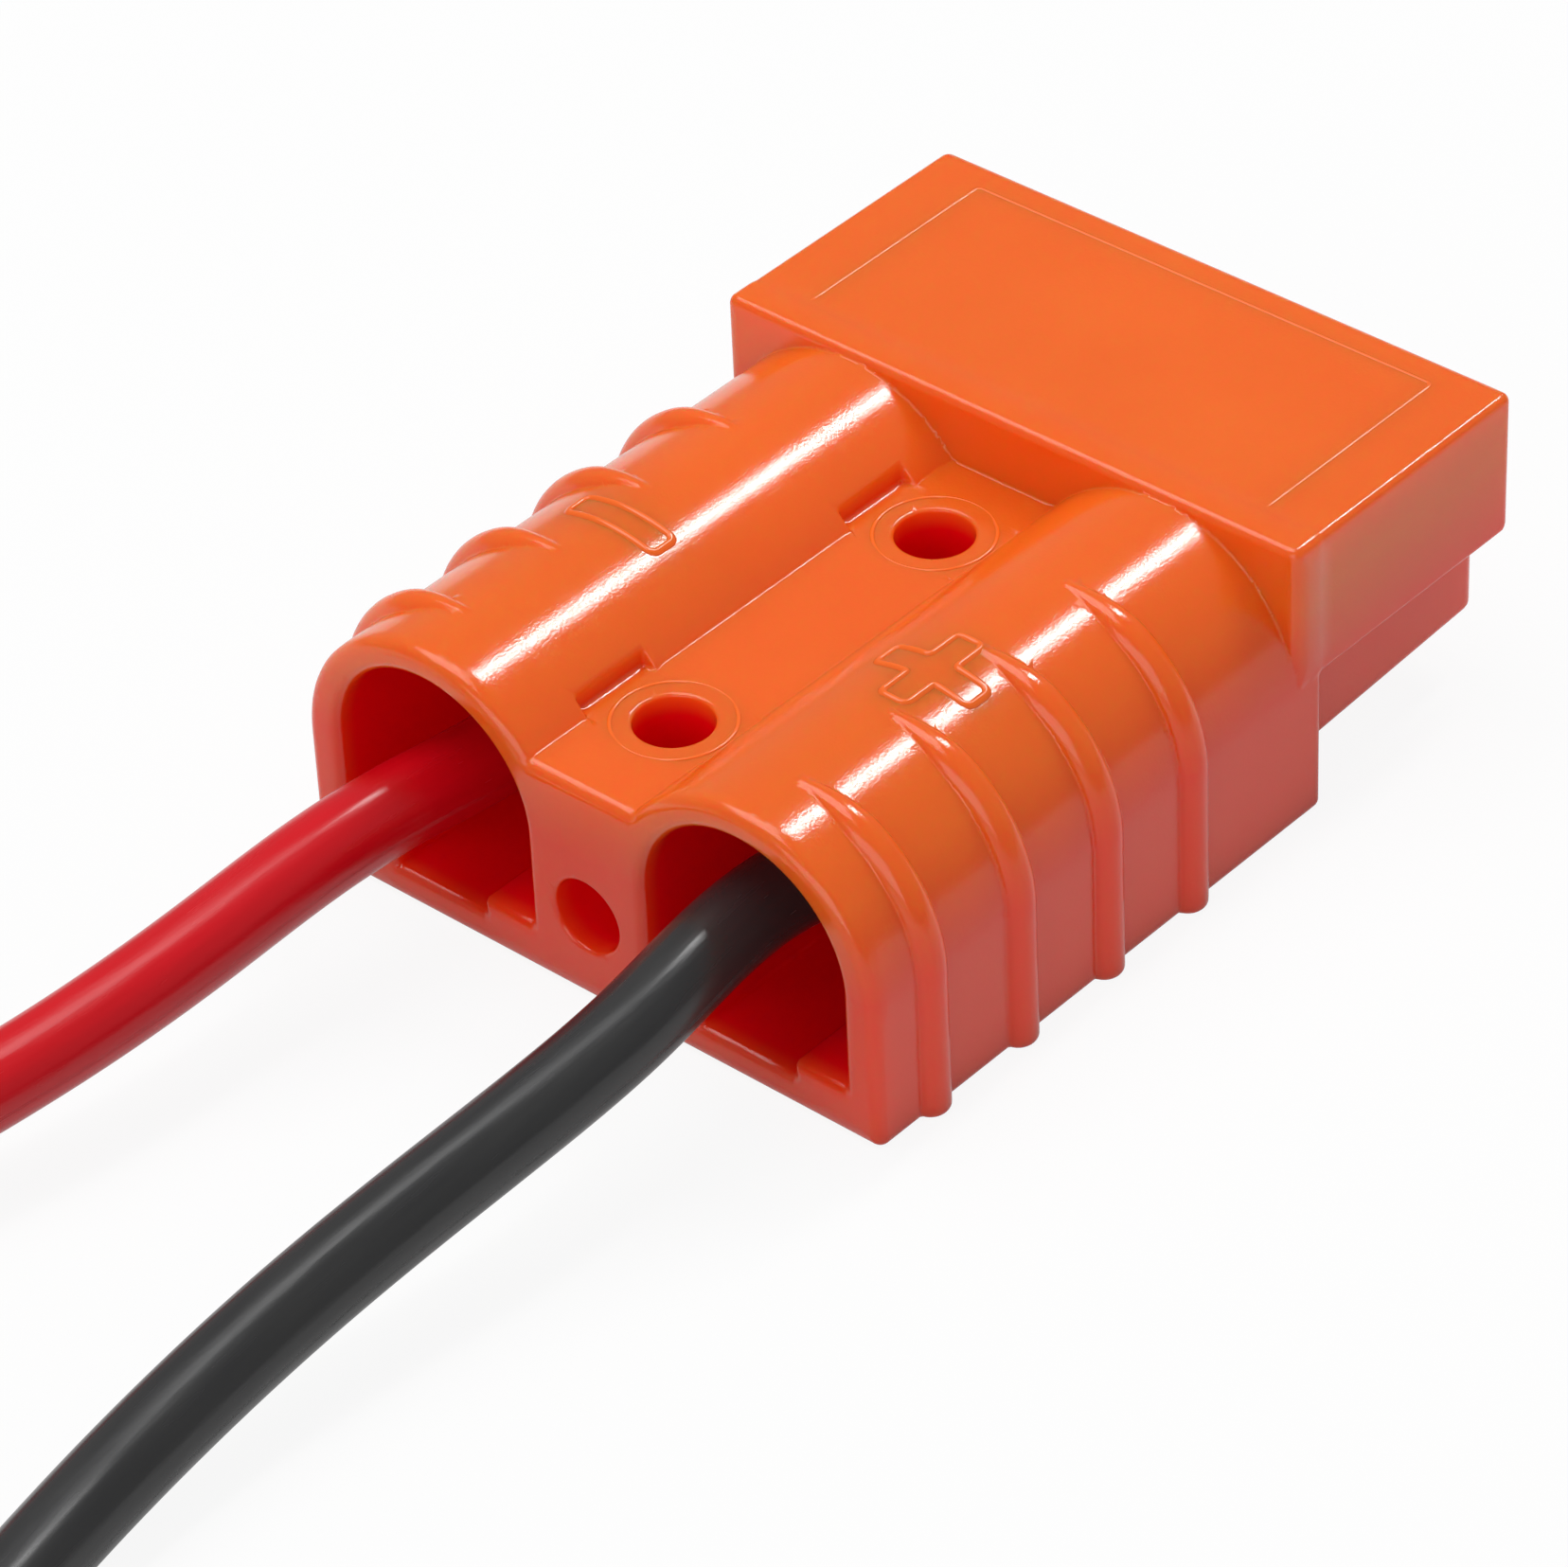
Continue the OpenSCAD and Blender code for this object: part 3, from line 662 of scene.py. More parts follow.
housing = moulded(
    "moulded_housing", housing_distance, (-WIDTH / 2 - RIB_ROOM, REAR, 0),
    (WIDTH / 2 + RIB_ROOM, FRONT, HEIGHT), voxel=0.125, adaptivity=0.03, both_sides=True,
)
take_place(housing, "housing")
measure(housing)

# %% [markdown]
# Inside the ways and holes the plastic's colour is painted deep red, a painted shade for places
# that the light reaches only through the walls. The finish needs to know where that is, so every
# point of the skin keeps how deep it lies below the outer form, as if no hollow had been cut.

# %% Depth below the outer form


def store_depth(piece):
    """Keeps minus the outer form's distance at each point, in mm, or nothing on the outside."""
    places = np.empty(3 * len(piece.data.vertices))
    piece.data.vertices.foreach_get("co", places)
    x, y, z = places.reshape(-1, 3).T / MM
    form = np.minimum(outer_form(np.abs(x), y, z), tongue(np.abs(x), y, z))
    depth = np.maximum(-form, 0)
    # The stored depth is the mask of the painted shade in the hollows.
    layer = piece.data.attributes.new("painted_shade_depth", "FLOAT", "POINT")
    layer.data.foreach_set("value", depth.astype(np.float32))
    print("deepest point:", round(float(depth.max()), 2), "mm below the outer form")


store_depth(housing)

# %% [markdown]
# The minus and the plus stand out from the arches as thin raised outlines, which the mould got
# from an engraved line. A fainter line of the same kind goes around each fixing hole and around
# the plain field on the head. Each one is a bead along a closed path, and the path is draped over
# the skin: a point of the plan goes straight up until it meets the round or the flat.

# %% Outlines as closed paths
MARK_LENGTH = 6.2
MARK_WIDTH = 2.1
MARK_LINE = 0.5
MARK_HEIGHT = 0.13
MARK_Y = REAR + 14.1
MARK_CORNER = 0.4
PLUS_INNER_CORNER = 0.25
BEAD_ROOT = -0.04


def arc(centre, radius, start, end, count=16):
    """Points on a circle from one angle to another, in degrees."""
    turn = np.radians(np.linspace(start, end, count))
    return np.stack((centre[0] + radius * np.cos(turn), centre[1] + radius * np.sin(turn)), axis=1)


def rectangle_path(half_x, half_y, radius):
    """A rectangle with round corners, clockwise from its corner at plus X and plus Y."""
    a, b = half_x - radius, half_y - radius
    corners = (((a, b), 90), ((a, -b), 0), ((-a, -b), -90), ((-a, b), -180))
    return np.concatenate([arc(corner, radius, start, start - 90) for corner, start in corners])


def plus_path(half_length, half_width, radius, inner):
    """The outline of a plus: one arm with two round corners and the small inner corner after it,
    turned four times."""
    a, b, c = half_length - radius, half_width - radius, half_width + inner
    arm = np.concatenate((
        arc((a, b), radius, 90, 0), arc((a, -b), radius, 0, -90), arc((c, -c), inner, 90, 180, 6),
    ))
    turns = np.radians(-90 * np.arange(4))
    return np.concatenate([
        np.stack((arm @ (np.cos(t), -np.sin(t)), arm @ (np.sin(t), np.cos(t))), axis=1)
        for t in turns
    ])


def evenly_closed(path, count):
    """The same closed path with points at even distances."""
    ring = np.concatenate((path, path[:1]))
    way = np.concatenate(([0], np.cumsum(np.linalg.norm(np.diff(ring, axis=0), axis=1))))
    even = np.arange(count) / count * way[-1]
    return np.stack([np.interp(even, way, ring[:, k]) for k in range(2)], axis=1)


def over_arch(side):
    """The skin's height over a point of the plan, raised: the top of the arch's circle, grown by
    that."""
    def height(x, y, raised):
        return ARCH_Z + np.sqrt((ARCH_RADIUS + raised) ** 2 - (x - side * WAY_X) ** 2)
    return height


def over_flat(level):
    """The same for a level face."""
    return lambda x, y, raised: level + raised


def bead_surface(name, path, centre, line, height, skin, count=400, across=13):
    """A bead around a closed path. Across it, from one edge to the other, it stands one minus the
    square of the way from its middle, times its height, and it goes back a little below the skin,
    so that it is closed all round."""
    middle = evenly_closed(path, count)
    along = np.roll(middle, -1, axis=0) - np.roll(middle, 1, axis=0)
    along /= np.linalg.norm(along, axis=1)[:, None]
    sideways = np.stack((-along[:, 1], along[:, 0]), axis=1)
    share = np.linspace(-1, 1, across)
    raised = BEAD_ROOT + (height - BEAD_ROOT) * (1 - share**2)
    share, raised = np.append(share, (0.5, -0.5)), np.append(raised, (2 * BEAD_ROOT, 2 * BEAD_ROOT))
    aside = share[None, :, None] * (line / 2) * sideways[:, None]
    plan = middle[:, None] + aside + np.array(centre)
    x, y = plan[..., 0], plan[..., 1]
    z = np.broadcast_to(skin(x, y, raised[None]), x.shape)
    points = np.stack((x, y, z), axis=-1)
    faces = [face[::-1] for face in grid_faces(count, len(share), closed_rows=True)]
    return new_object(name, points * MM, faces)


# %% Marks, rings and border
RING_RADIUS, RING_LINE, RING_HEIGHT = 3.05, 0.22, 0.014
BORDER_SIDE, BORDER_END, BORDER_CORNER = 3.6, 1.8, 0.3
BORDER_LINE, BORDER_HEIGHT = 0.3, 0.03
mark_x, mark_y = (MARK_LENGTH - MARK_LINE) / 2, (MARK_WIDTH - MARK_LINE) / 2
minus = rectangle_path(mark_x, mark_y, MARK_CORNER)
plus = plus_path(mark_x, mark_y, MARK_CORNER, PLUS_INNER_CORNER)
border = rectangle_path(WIDTH / 2 - BORDER_SIDE, (FRONT - HEAD) / 2 - BORDER_END, BORDER_CORNER)
ring = arc((0, 0), RING_RADIUS, 0, -360, 200)[:-1]
beads = [
    bead_surface("minus_mark", minus, (-WAY_X, MARK_Y), MARK_LINE, MARK_HEIGHT, over_arch(RED)),
    bead_surface("plus_mark", plus, (WAY_X, MARK_Y), MARK_LINE, MARK_HEIGHT, over_arch(BLACK)),
    bead_surface("field_border", border, (0, (HEAD + FRONT) / 2), BORDER_LINE, BORDER_HEIGHT,
                 over_flat(HEIGHT), count=900),
]
for number, hole_y in enumerate(HOLE_YS):
    beads.append(bead_surface(
        f"hole_seat_{number + 1}", ring, (0, hole_y), RING_LINE, RING_HEIGHT, over_flat(VALLEY),
        count=200,
    ))
for bead in beads:
    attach(bead, "root")
    measure(bead)

# %% [markdown]
# Each contact is one forged and silver plated piece: a round barrel for the strands, a neck that
# goes over into a flat blade, and a tip bent down in front of the leaf spring. Its section
# changes from a circle to a flat bar, which a formula can follow, while a sweep of one profile
# can't.

# %% Contacts
BARREL_RADIUS = 3.2
BORE_RADIUS = 1.55
BORE_DEPTH = 10
NECK_WIDENS, NECK_THINS, NECK_SQUARES = 0.8, 2.2, 0.75
BLADE_HALF_WIDTH = 4
BLADE_HALF_THICKNESS = 1
TIP_BEND = (CHANNEL_END - 3.1, MATE_Z - 2.8)
TIP_RADIUS = 1.8
TIP_LENGTH = 0.6
SIGHT_PLACE, SIGHT_RADIUS = 8.4, 0.8
CONTACT_FILLET = 0.2
BAR_EDGE, METAL_EDGE, BORE_EDGE = 0.25, 0.3, 0.35
CONTACT_LOW, CONTACT_TOP = 4.4, 11


def contact_distance(x, y, z):
    """Barrel, neck and blade of one contact around its own middle plane. The neck is a rectangle
    with round corners whose sizes slide from the barrel's circle to the blade's bar."""
    from_axis = np.hypot(x, z - BARREL_Z)
    length = between(y, BARREL_START, BARREL_END)
    barrel = cut_round(from_axis - BARREL_RADIUS, length, METAL_EDGE)
    slid = eased((y - BARREL_END) / (NECK_END - BARREL_END))
    wide, thick = BARREL_RADIUS + NECK_WIDENS * slid, BARREL_RADIUS - NECK_THINS * slid
    middle = BARREL_Z + (MATE_Z - BLADE_HALF_THICKNESS - BARREL_Z) * slid
    neck = box_distance(x, z - middle, wide, thick, thick - NECK_SQUARES * slid)
    neck = np.maximum(neck, between(y, BARREL_END - 0.5, NECK_END + 0.2))
    bend_y, bend_z = TIP_BEND
    strip = np.abs(np.hypot(y - bend_y, z - bend_z) - TIP_RADIUS)
    strip = np.where(z < bend_z, np.abs(y - bend_y - TIP_RADIUS), strip)
    strip = np.where(y < bend_y, np.abs(z - MATE_Z + BLADE_HALF_THICKNESS), strip)
    strip = cut_round(strip - BLADE_HALF_THICKNESS, bend_z - TIP_LENGTH - z, METAL_EDGE)
    strip = np.maximum(strip, NECK_END - 0.2 - y)
    blade = cut_round(strip, np.abs(x) - BLADE_HALF_WIDTH, BAR_EDGE)
    solid = join_round(join_round(barrel, neck, CONTACT_FILLET), blade, CONTACT_FILLET)
    bore = np.maximum(from_axis - BORE_RADIUS, y - BARREL_START - BORE_DEPTH)
    sight = np.maximum(np.hypot(x, y - BARREL_START - SIGHT_PLACE) - SIGHT_RADIUS, BARREL_Z - z)
    return carved(solid, (-bore, BORE_EDGE), (-sight, FINE_EDGE))


def forged_contact(side, colour):
    """One pole's contact, from its formula."""
    middle_x = side * WAY_X
    return moulded(
        f"forged_contact_{colour}", lambda x, y, z: contact_distance(x - middle_x, y, z),
        (middle_x - BLADE_HALF_WIDTH, BARREL_START, CONTACT_LOW),
        (middle_x + BLADE_HALF_WIDTH, CHANNEL_END, CONTACT_TOP),
    )


contacts = both_poles(forged_contact, "contact")

# %% [markdown]
# A leaf spring is a strip of rolled steel, bowed upwards so that its crest pushes the blade
# against the blade of the other connector. It is a flat section with round edges, carried along
# an arc.

# %% Leaf springs
SPRING_WIDTH = 7.0
SPRING_THICKNESS = 0.5
SPRING_RADIUS = 25.28
SPRING_MIDDLE = (CHANNEL_END - 10.1, -19.48)
SPRING_HALF_ANGLE = 17.0
SPRING_EDGE = 0.2


def flat_profile(width, thickness, corner, count=6):
    """Outline of a flat bar with round corners, as (across, up) pairs all the way round."""
    w, t = width / 2 - corner, thickness / 2 - corner
    corners = ((w, t, 0), (-w, t, 90), (-w, -t, 180), (w, -t, 270))
    rounds = [arc((a, b), corner, start, start + 90, count) for a, b, start in corners]
    return np.concatenate(rounds)


def carried_profile(name, points):
    """A closed piece from rows of profile points in millimetres, with a fan over both ends."""
    rows, columns, _ = points.shape
    ends = points[[0, -1]].mean(axis=1)
    faces = [face[::-1] for face in grid_faces(rows, columns) + end_fans(rows, columns)]
    return new_object(name, np.concatenate((points.reshape(-1, 3), ends)) * MM, faces)


def spring_surface(side, colour, rows=60):
    """Each point is the arc's point plus the profile's way across X and its height along the
    arc's own radius."""
    profile = flat_profile(SPRING_WIDTH, SPRING_THICKNESS, SPRING_EDGE)
    turn = np.radians(np.linspace(-SPRING_HALF_ANGLE, SPRING_HALF_ANGLE, rows))[:, None]
    radius = SPRING_RADIUS + profile[None, :, 1]
    x = np.broadcast_to(side * WAY_X + profile[None, :, 0], (rows, len(profile)))
    y = SPRING_MIDDLE[0] + radius * np.sin(turn)
    z = SPRING_MIDDLE[1] + radius * np.cos(turn)
    return carried_profile(f"bowed_spring_{colour}", np.stack((x, y, z), axis=-1))


springs = both_poles(spring_surface, "leaf_spring")

# %% [markdown]
# Under the insulation lie nineteen bare copper strands: one in the middle, six around it and
# twelve around those, laid in a slow twist. They show only where they leave the insulation at
# both ends.

# %% Conductors
STRAND = 0.6
STRAND_RINGS = [(0, 1, 0.0), (STRAND, 6, 0.0), (1.95 * STRAND, 12, 15.0)]
TWIST_PITCH = 16.0
NEAR_STRANDS, FAR_STRANDS = 10.95, 9.0


def strand_bundle(origin, length, rows=24, sides=10):
    """Points and faces of all strands between two ends. A strand's middle runs on a helix: its
    place around the axis turns by one full turn for each pitch. Its own section is a circle. Each
    ring of strands is given by its radius, its count and the first strand's turn in degrees."""
    away = np.concatenate([np.full(count, radius) for radius, count, _ in STRAND_RINGS])
    first = np.concatenate([np.arange(n) * 360 / n + shift for _, n, shift in STRAND_RINGS])
    y = np.linspace(0, length, rows)
    around = np.radians(first)[:, None] + 2 * np.pi * y[None] / TWIST_PITCH
    out = away[:, None]
    middle = np.stack(
        (out * np.cos(around), np.broadcast_to(y, around.shape), out * np.sin(around)), axis=-1
    )
    turn = np.arange(sides) / sides * 2 * np.pi
    section = STRAND / 2 * np.stack((np.cos(turn), np.zeros(sides), np.sin(turn)), axis=1)
    skin = (middle[:, :, None] + section).reshape(len(away), -1, 3)
    points = np.concatenate((skin, middle[:, [0, -1]]), axis=1) + np.array(origin)
    step = (np.arange(len(away)) * points.shape[1])[:, None, None]
    walls = np.array(grid_faces(rows, sides))[:, ::-1] + step
    caps = np.array(end_fans(rows, sides))[:, ::-1] + step
    return points.reshape(-1, 3), walls.reshape(-1, 4).tolist() + caps.reshape(-1, 3).tolist()


def copper_strands(side, colour):
    """The strands at both ends of one lead, as one piece."""
    route = ROUTE_OF[side] / MM
    near_points, near_faces = strand_bundle((side * WAY_X, route[0][1], BARREL_Z), NEAR_STRANDS)
    far_points, far_faces = strand_bundle(route[-1], FAR_STRANDS)
    shifted = [[corner + len(near_points) for corner in face] for face in far_faces]
    both = np.concatenate((near_points, far_points)) * MM
    return new_object(f"copper_strands_{colour}", both, near_faces + shifted)


conductors = both_poles(copper_strands, "conductor")

# %% [markdown]
# A ring terminal is bent and pressed from thick tinned copper: a barrel in line with the lead, a
# sloped neck, and a flat palm with a hole for the stud. The palm lies on the table.

# %% Ring terminals
TERMINAL_AXIS_Z = 3
TERMINAL_BARREL_RADIUS = 2.45
TERMINAL_BARREL_LENGTH = 8
TERMINAL_SLOPE_LENGTH = 2.6
PALM_THICKNESS = 1.4
PALM_RADIUS = 7.5
STUD_PLACE, STUD_RADIUS = 11, 4.2
SLOPE_THINS, SLOPE_SINKS, SLOPE_SQUARES = 1.75, 2.3, 0.4
SLOPE_END = 7.5
PALM_FILLET = 0.6
TERMINAL_TOP = 5.5
STRIPPED_LENGTH = 9.0


def terminal_distance(x, y, z):
    """The terminal with its barrel's front end at the origin of Y. Behind it lies the barrel,
    ahead the neck, a rectangle that slides down from the barrel's circle, and the round palm."""
    from_axis = np.hypot(x, z - TERMINAL_AXIS_Z)
    from_stud = np.hypot(x, y - STUD_PLACE)
    radius = TERMINAL_BARREL_RADIUS
    barrel = cut_round(from_axis - radius, between(y, -TERMINAL_BARREL_LENGTH, 0.3), BAR_EDGE)
    slid = eased(y / TERMINAL_SLOPE_LENGTH)
    wide, thick = radius + slid, radius - SLOPE_THINS * slid
    height = z - TERMINAL_AXIS_Z + SLOPE_SINKS * slid
    neck = box_distance(x, height, wide, thick, thick - SLOPE_SQUARES * slid)
    neck = np.maximum(neck, between(y, -0.2, SLOPE_END))
    palm = cut_round(from_stud - PALM_RADIUS, between(z, 0, PALM_THICKNESS), METAL_EDGE)
    solid = join_round(join_round(barrel, neck, METAL_EDGE), palm, PALM_FILLET)
    bore = np.maximum(from_axis - BORE_RADIUS, y)
    return carved(
        np.maximum(solid, -z), (STUD_RADIUS - from_stud, METAL_EDGE), (-bore, CONTACT_FILLET)
    )


def pressed_terminal(side, colour):
    """One lead's terminal, from its formula, set on the end of the lead's route."""
    end_x, end_y = ROUTE_OF[side][-1][:2] / MM
    start_y = end_y + STRIPPED_LENGTH
    return moulded(
        f"pressed_terminal_{colour}",
        lambda x, y, z: terminal_distance(x - end_x, y - start_y, z),
        (end_x - PALM_RADIUS, start_y - TERMINAL_BARREL_LENGTH, 0),
        (end_x + PALM_RADIUS, start_y + STUD_PLACE + PALM_RADIUS, TERMINAL_TOP),
    )


terminals = both_poles(pressed_terminal, "ring_terminal")

# %% [markdown]
# The shrink sleeve was slipped over the lead and heated, so it lies tight on the terminal's
# barrel and, a little narrower, on the insulation. It is one tube with a wall, whose outside
# swells over the barrel.

# %% Shrink sleeves
SLEEVE_LENGTH = 16.0
SLEEVE_SIDES = 40
SLEEVE_INNER = 2.17
SLEEVE_SWELL, SWELL_START, SWELL_LENGTH = 0.31, 7.2, 1.8
SLEEVE_WALL = 0.45
SLEEVE_RIPPLE, RIPPLES_PER_MM = 0.03, 1.9
SLEEVE_POINTS = 40
LIP_DEPTH = np.array([-0.14, -0.2, -0.14])
LIP_SHARE = np.array([0.85, 0.5, 0.15])


def sleeve_surface(side, colour):
    """A closed wall turned around the lead's line. Its profile goes forth on the outside and back
    on the inside, each a radius for each place along the sleeve, with a round lip at both ends."""
    start_y = ROUTE_OF[side][-1][1] / MM + STRIPPED_LENGTH - SLEEVE_LENGTH - 1
    place = np.linspace(0, SLEEVE_LENGTH, 60)
    inner = SLEEVE_INNER + SLEEVE_SWELL * eased((place - SWELL_START) / SWELL_LENGTH)
    outer = inner + SLEEVE_WALL + SLEEVE_RIPPLE * np.sin(place * RIPPLES_PER_MM)
    wall = outer - inner
    front = np.stack((SLEEVE_LENGTH - LIP_DEPTH, inner[-1] + LIP_SHARE * wall[-1]), axis=1)
    back = np.stack((LIP_DEPTH, inner[0] + (1 - LIP_SHARE) * wall[0]), axis=1)
    outside = np.stack((place, outer), axis=1)
    inside = np.stack((place, inner), axis=1)[::-1]
    profile = np.concatenate((outside, front, inside, back))
    y = start_y + profile[:, 0]
    tail = lead_lines[side][-SLEEVE_POINTS:] / MM
    x = np.interp(y, tail[:, 1], tail[:, 0])
    z = np.interp(y, tail[:, 1], tail[:, 2])
    turn = np.arange(SLEEVE_SIDES) / SLEEVE_SIDES * 2 * np.pi
    across = x[:, None] + profile[:, 1, None] * np.cos(turn)[None]
    up = z[:, None] + profile[:, 1, None] * np.sin(turn)[None]
    points = np.stack((across, np.broadcast_to(y[:, None], across.shape), up), axis=-1)
    faces = [face[::-1] for face in grid_faces(len(profile), SLEEVE_SIDES, closed_rows=True)]
    return new_object(f"shrunk_sleeve_{colour}", points * MM, faces)


sleeves = both_poles(sleeve_surface, "shrink_sleeve")

# %% [markdown]
# A strap holds the two runs of each folded lead. It goes once around both and its end laps over
# its own start, which a closed ring wouldn't show: the path is a long circle that winds on past
# one full turn and climbs by the strap's thickness where it overlaps.

# %% Ties
TIE_WIDTH = 3.0
TIE_THICKNESS = 0.6
TIE_EDGE = 0.22
TIE_PLACES = {RED: (-24.0, -107.0), BLACK: (18.5, -118.0)}
TIE_Z = 2.9
TIE_HALF = 2.3
TIE_FLATNESS = 6
TIE_START, TIE_END = -0.02, 1.16
CLIMB_START, CLIMB_LENGTH = 0.9, 0.08
TIE_GAP, LAP_GAP = 0.05, 0.03
TIE_TURN = np.pi / 3


def tie_surface(side, colour, rows=220):
    """A flat section carried around two circles and the lines between them. The way round is
    counted in turns; past nine tenths of a turn the section climbs over the start."""
    turns = np.linspace(TIE_START, TIE_END, rows)
    climb = (TIE_THICKNESS + LAP_GAP) * eased((turns - CLIMB_START) / CLIMB_LENGTH)
    reach = LEAD_DIAMETER / MM / 2 + TIE_GAP + TIE_THICKNESS / 2 + climb
    angle = 2 * np.pi * turns + TIE_TURN
    out = np.stack((np.cos(angle), np.zeros(rows), np.sin(angle)), axis=1)
    slide = TIE_HALF * np.tanh(TIE_FLATNESS * out[:, 0])
    x, y = TIE_PLACES[side]
    middle = np.stack((x + slide, np.full(rows, y), np.full(rows, TIE_Z)), axis=1)
    profile = flat_profile(TIE_WIDTH, TIE_THICKNESS, TIE_EDGE)
    raised = (reach[:, None] + profile[None, :, 1])[..., None]
    points = middle[:, None] + raised * out[:, None]
    points[..., 1] += profile[None, :, 0]
    return carried_profile(f"strap_{colour}", points)


ties = both_poles(tie_surface, "lead_tie")

# %% [markdown]
# Each material is a small network of nodes around one shader. The plastic is glossy and slightly
# translucent: light goes a little way into it and comes out redder, and inside the cable ways a
# deep red is painted on as painted shade. The finest bumps on it are what a polished steel mould
# leaves.

# %% Helpers for materials


def shader_of(material):
    """The sockets of a material's own shader."""
    return material.node_tree.nodes["Principled BSDF"].inputs


def new_material(name, colour, roughness, **numbers):
    """A material with one Principled shader, whose plain numbers are set on its own sockets."""
    material = bpy.data.materials.new(name)
    material.use_nodes = True
    shader = shader_of(material)
    shader["Base Color"].default_value = (*colour, 1)
    shader["Roughness"].default_value = roughness
    for socket, value in numbers.items():
        shader[socket.replace("_", " ")].default_value = value
    return material


def add_node(material, kind, **settings):
    """A new node. A setting that names one of its inputs sets that, any other its property."""
    node = material.node_tree.nodes.new(f"ShaderNode{kind}")
    for key, value in settings.items():
        socket = key.replace("_", " ").title()
        if socket in node.inputs:
            node.inputs[socket].default_value = value
        else:
            setattr(node, key, value)
    return node


def join_nodes(material, *pairs):
    """Links made from (output, input) pairs."""
    for output, target in pairs:
        material.node_tree.links.new(output, target)


def own_place(material, stretch=(1, 1, 1), along_lead=False):
    """The point's own place on the piece, or its map along and around a lead, scaled."""
    source = add_node(material, "TexCoord").outputs["UV" if along_lead else "Object"]
    mapping = add_node(material, "Mapping", scale=stretch)
    join_nodes(material, (source, mapping.inputs["Vector"]))
    return mapping.outputs["Vector"]


def clouds(material, place, scale, detail):
    """Soft noise between 0 and 1, in clouds of about one over the scale in width."""
    noise = add_node(material, "TexNoise", scale=scale, detail=detail)
    join_nodes(material, (place, noise.inputs["Vector"]))
    return noise.outputs["Fac"]


def share_between(material, value, low, high, to_low=0, to_high=1):
    """A value spread from one range to another, and held at its ends."""
    spread = add_node(
        material, "MapRange", from_min=low, from_max=high, to_min=to_low, to_max=to_high
    )
    join_nodes(material, (value, spread.inputs["Value"]))
    return spread.outputs["Result"]


def blend_colours(material, share, first, second):
    """A colour that goes from the first to the second. Each is a socket or three plain numbers."""
    mix = add_node(material, "Mix", data_type="RGBA")
    join_nodes(material, (share, mix.inputs["Factor"]))
    for name, colour in (("A", first), ("B", second)):
        if isinstance(colour, tuple):
            mix.inputs[name].default_value = (*colour, 1)
        else:
            join_nodes(material, (colour, mix.inputs[name]))
    return mix.outputs["Result"]


# %% What wanders over a surface
CLOUD_LOW, CLOUD_HIGH = 0.3, 0.7


def vary_colour(material, place, scale, first, second):
    """The base colour wanders between two near tones in soft clouds."""
    ramp = add_node(material, "ValToRGB")
    stops = ramp.color_ramp.elements
    for stop, position, tone in zip(stops, (CLOUD_LOW, CLOUD_HIGH), (first, second)):
        stop.position = position
        stop.color = (*tone, 1)
    join_nodes(
        material, (clouds(material, place, scale, 3), ramp.inputs["Fac"]),
        (ramp.outputs["Color"], shader_of(material)["Base Color"]),
    )


def vary_roughness(material, place, scale, low, high):
    """The roughness wanders between two values."""
    noise = clouds(material, place, scale, 4)
    rough = share_between(material, noise, CLOUD_LOW, CLOUD_HIGH, low, high)
    join_nodes(material, (rough, shader_of(material)["Roughness"]))


def add_bumps(material, place, scale, height):
    """Small bumps of about one over the scale in width, and of the height given in metres."""
    bump = add_node(material, "Bump", strength=1.0, distance=height)
    join_nodes(
        material, (clouds(material, place, scale, 2), bump.inputs["Height"]),
        (bump.outputs["Normal"], shader_of(material)["Normal"]),
    )


def finish(name, tones, rough, scales, height=0, stretch=(1, 1, 1), along_lead=False, **numbers):
    """A material whose tone wanders between two near ones and its roughness between two values,
    with bumps of a height in millimetres. The scales are those of the tones, the roughness, the
    bumps."""
    material = new_material(name, tones[0], rough[0], **numbers)
    place = own_place(material, stretch, along_lead)
    vary_colour(material, place, scales[0], *tones)
    vary_roughness(material, place, scales[1], *rough)
    if height:
        add_bumps(material, place, scales[2], height * MM)
    return material


def dress(material, *pieces):
    """Gives pieces one material in place of all that they had."""
    for piece in pieces:
        piece.data.materials.clear()
        piece.data.materials.append(material)


# %% The plastic of the housing
# A deep red painted in the hollows, as painted shade.
PAINTED_SHADE_DEEP_RED = (0.92, 0.001, 0.011)
# A redder tone painted on the lower faces, as painted shade.
PAINTED_SHADE_LOW_RED = (0.88, 0.06, 0.01)
GLOSS = (0.11, 0.16)
PLASTIC_SCALES = (90, 1500, 7000)
# The heights over which the painted shade of the lower faces gives way to the orange.
LOW_Z, HIGH_Z = 8.5 * MM, 13 * MM
# The stored depths over which the painted shade of the hollows comes in.
SHALLOW, DEEP = 0.15, 1.3


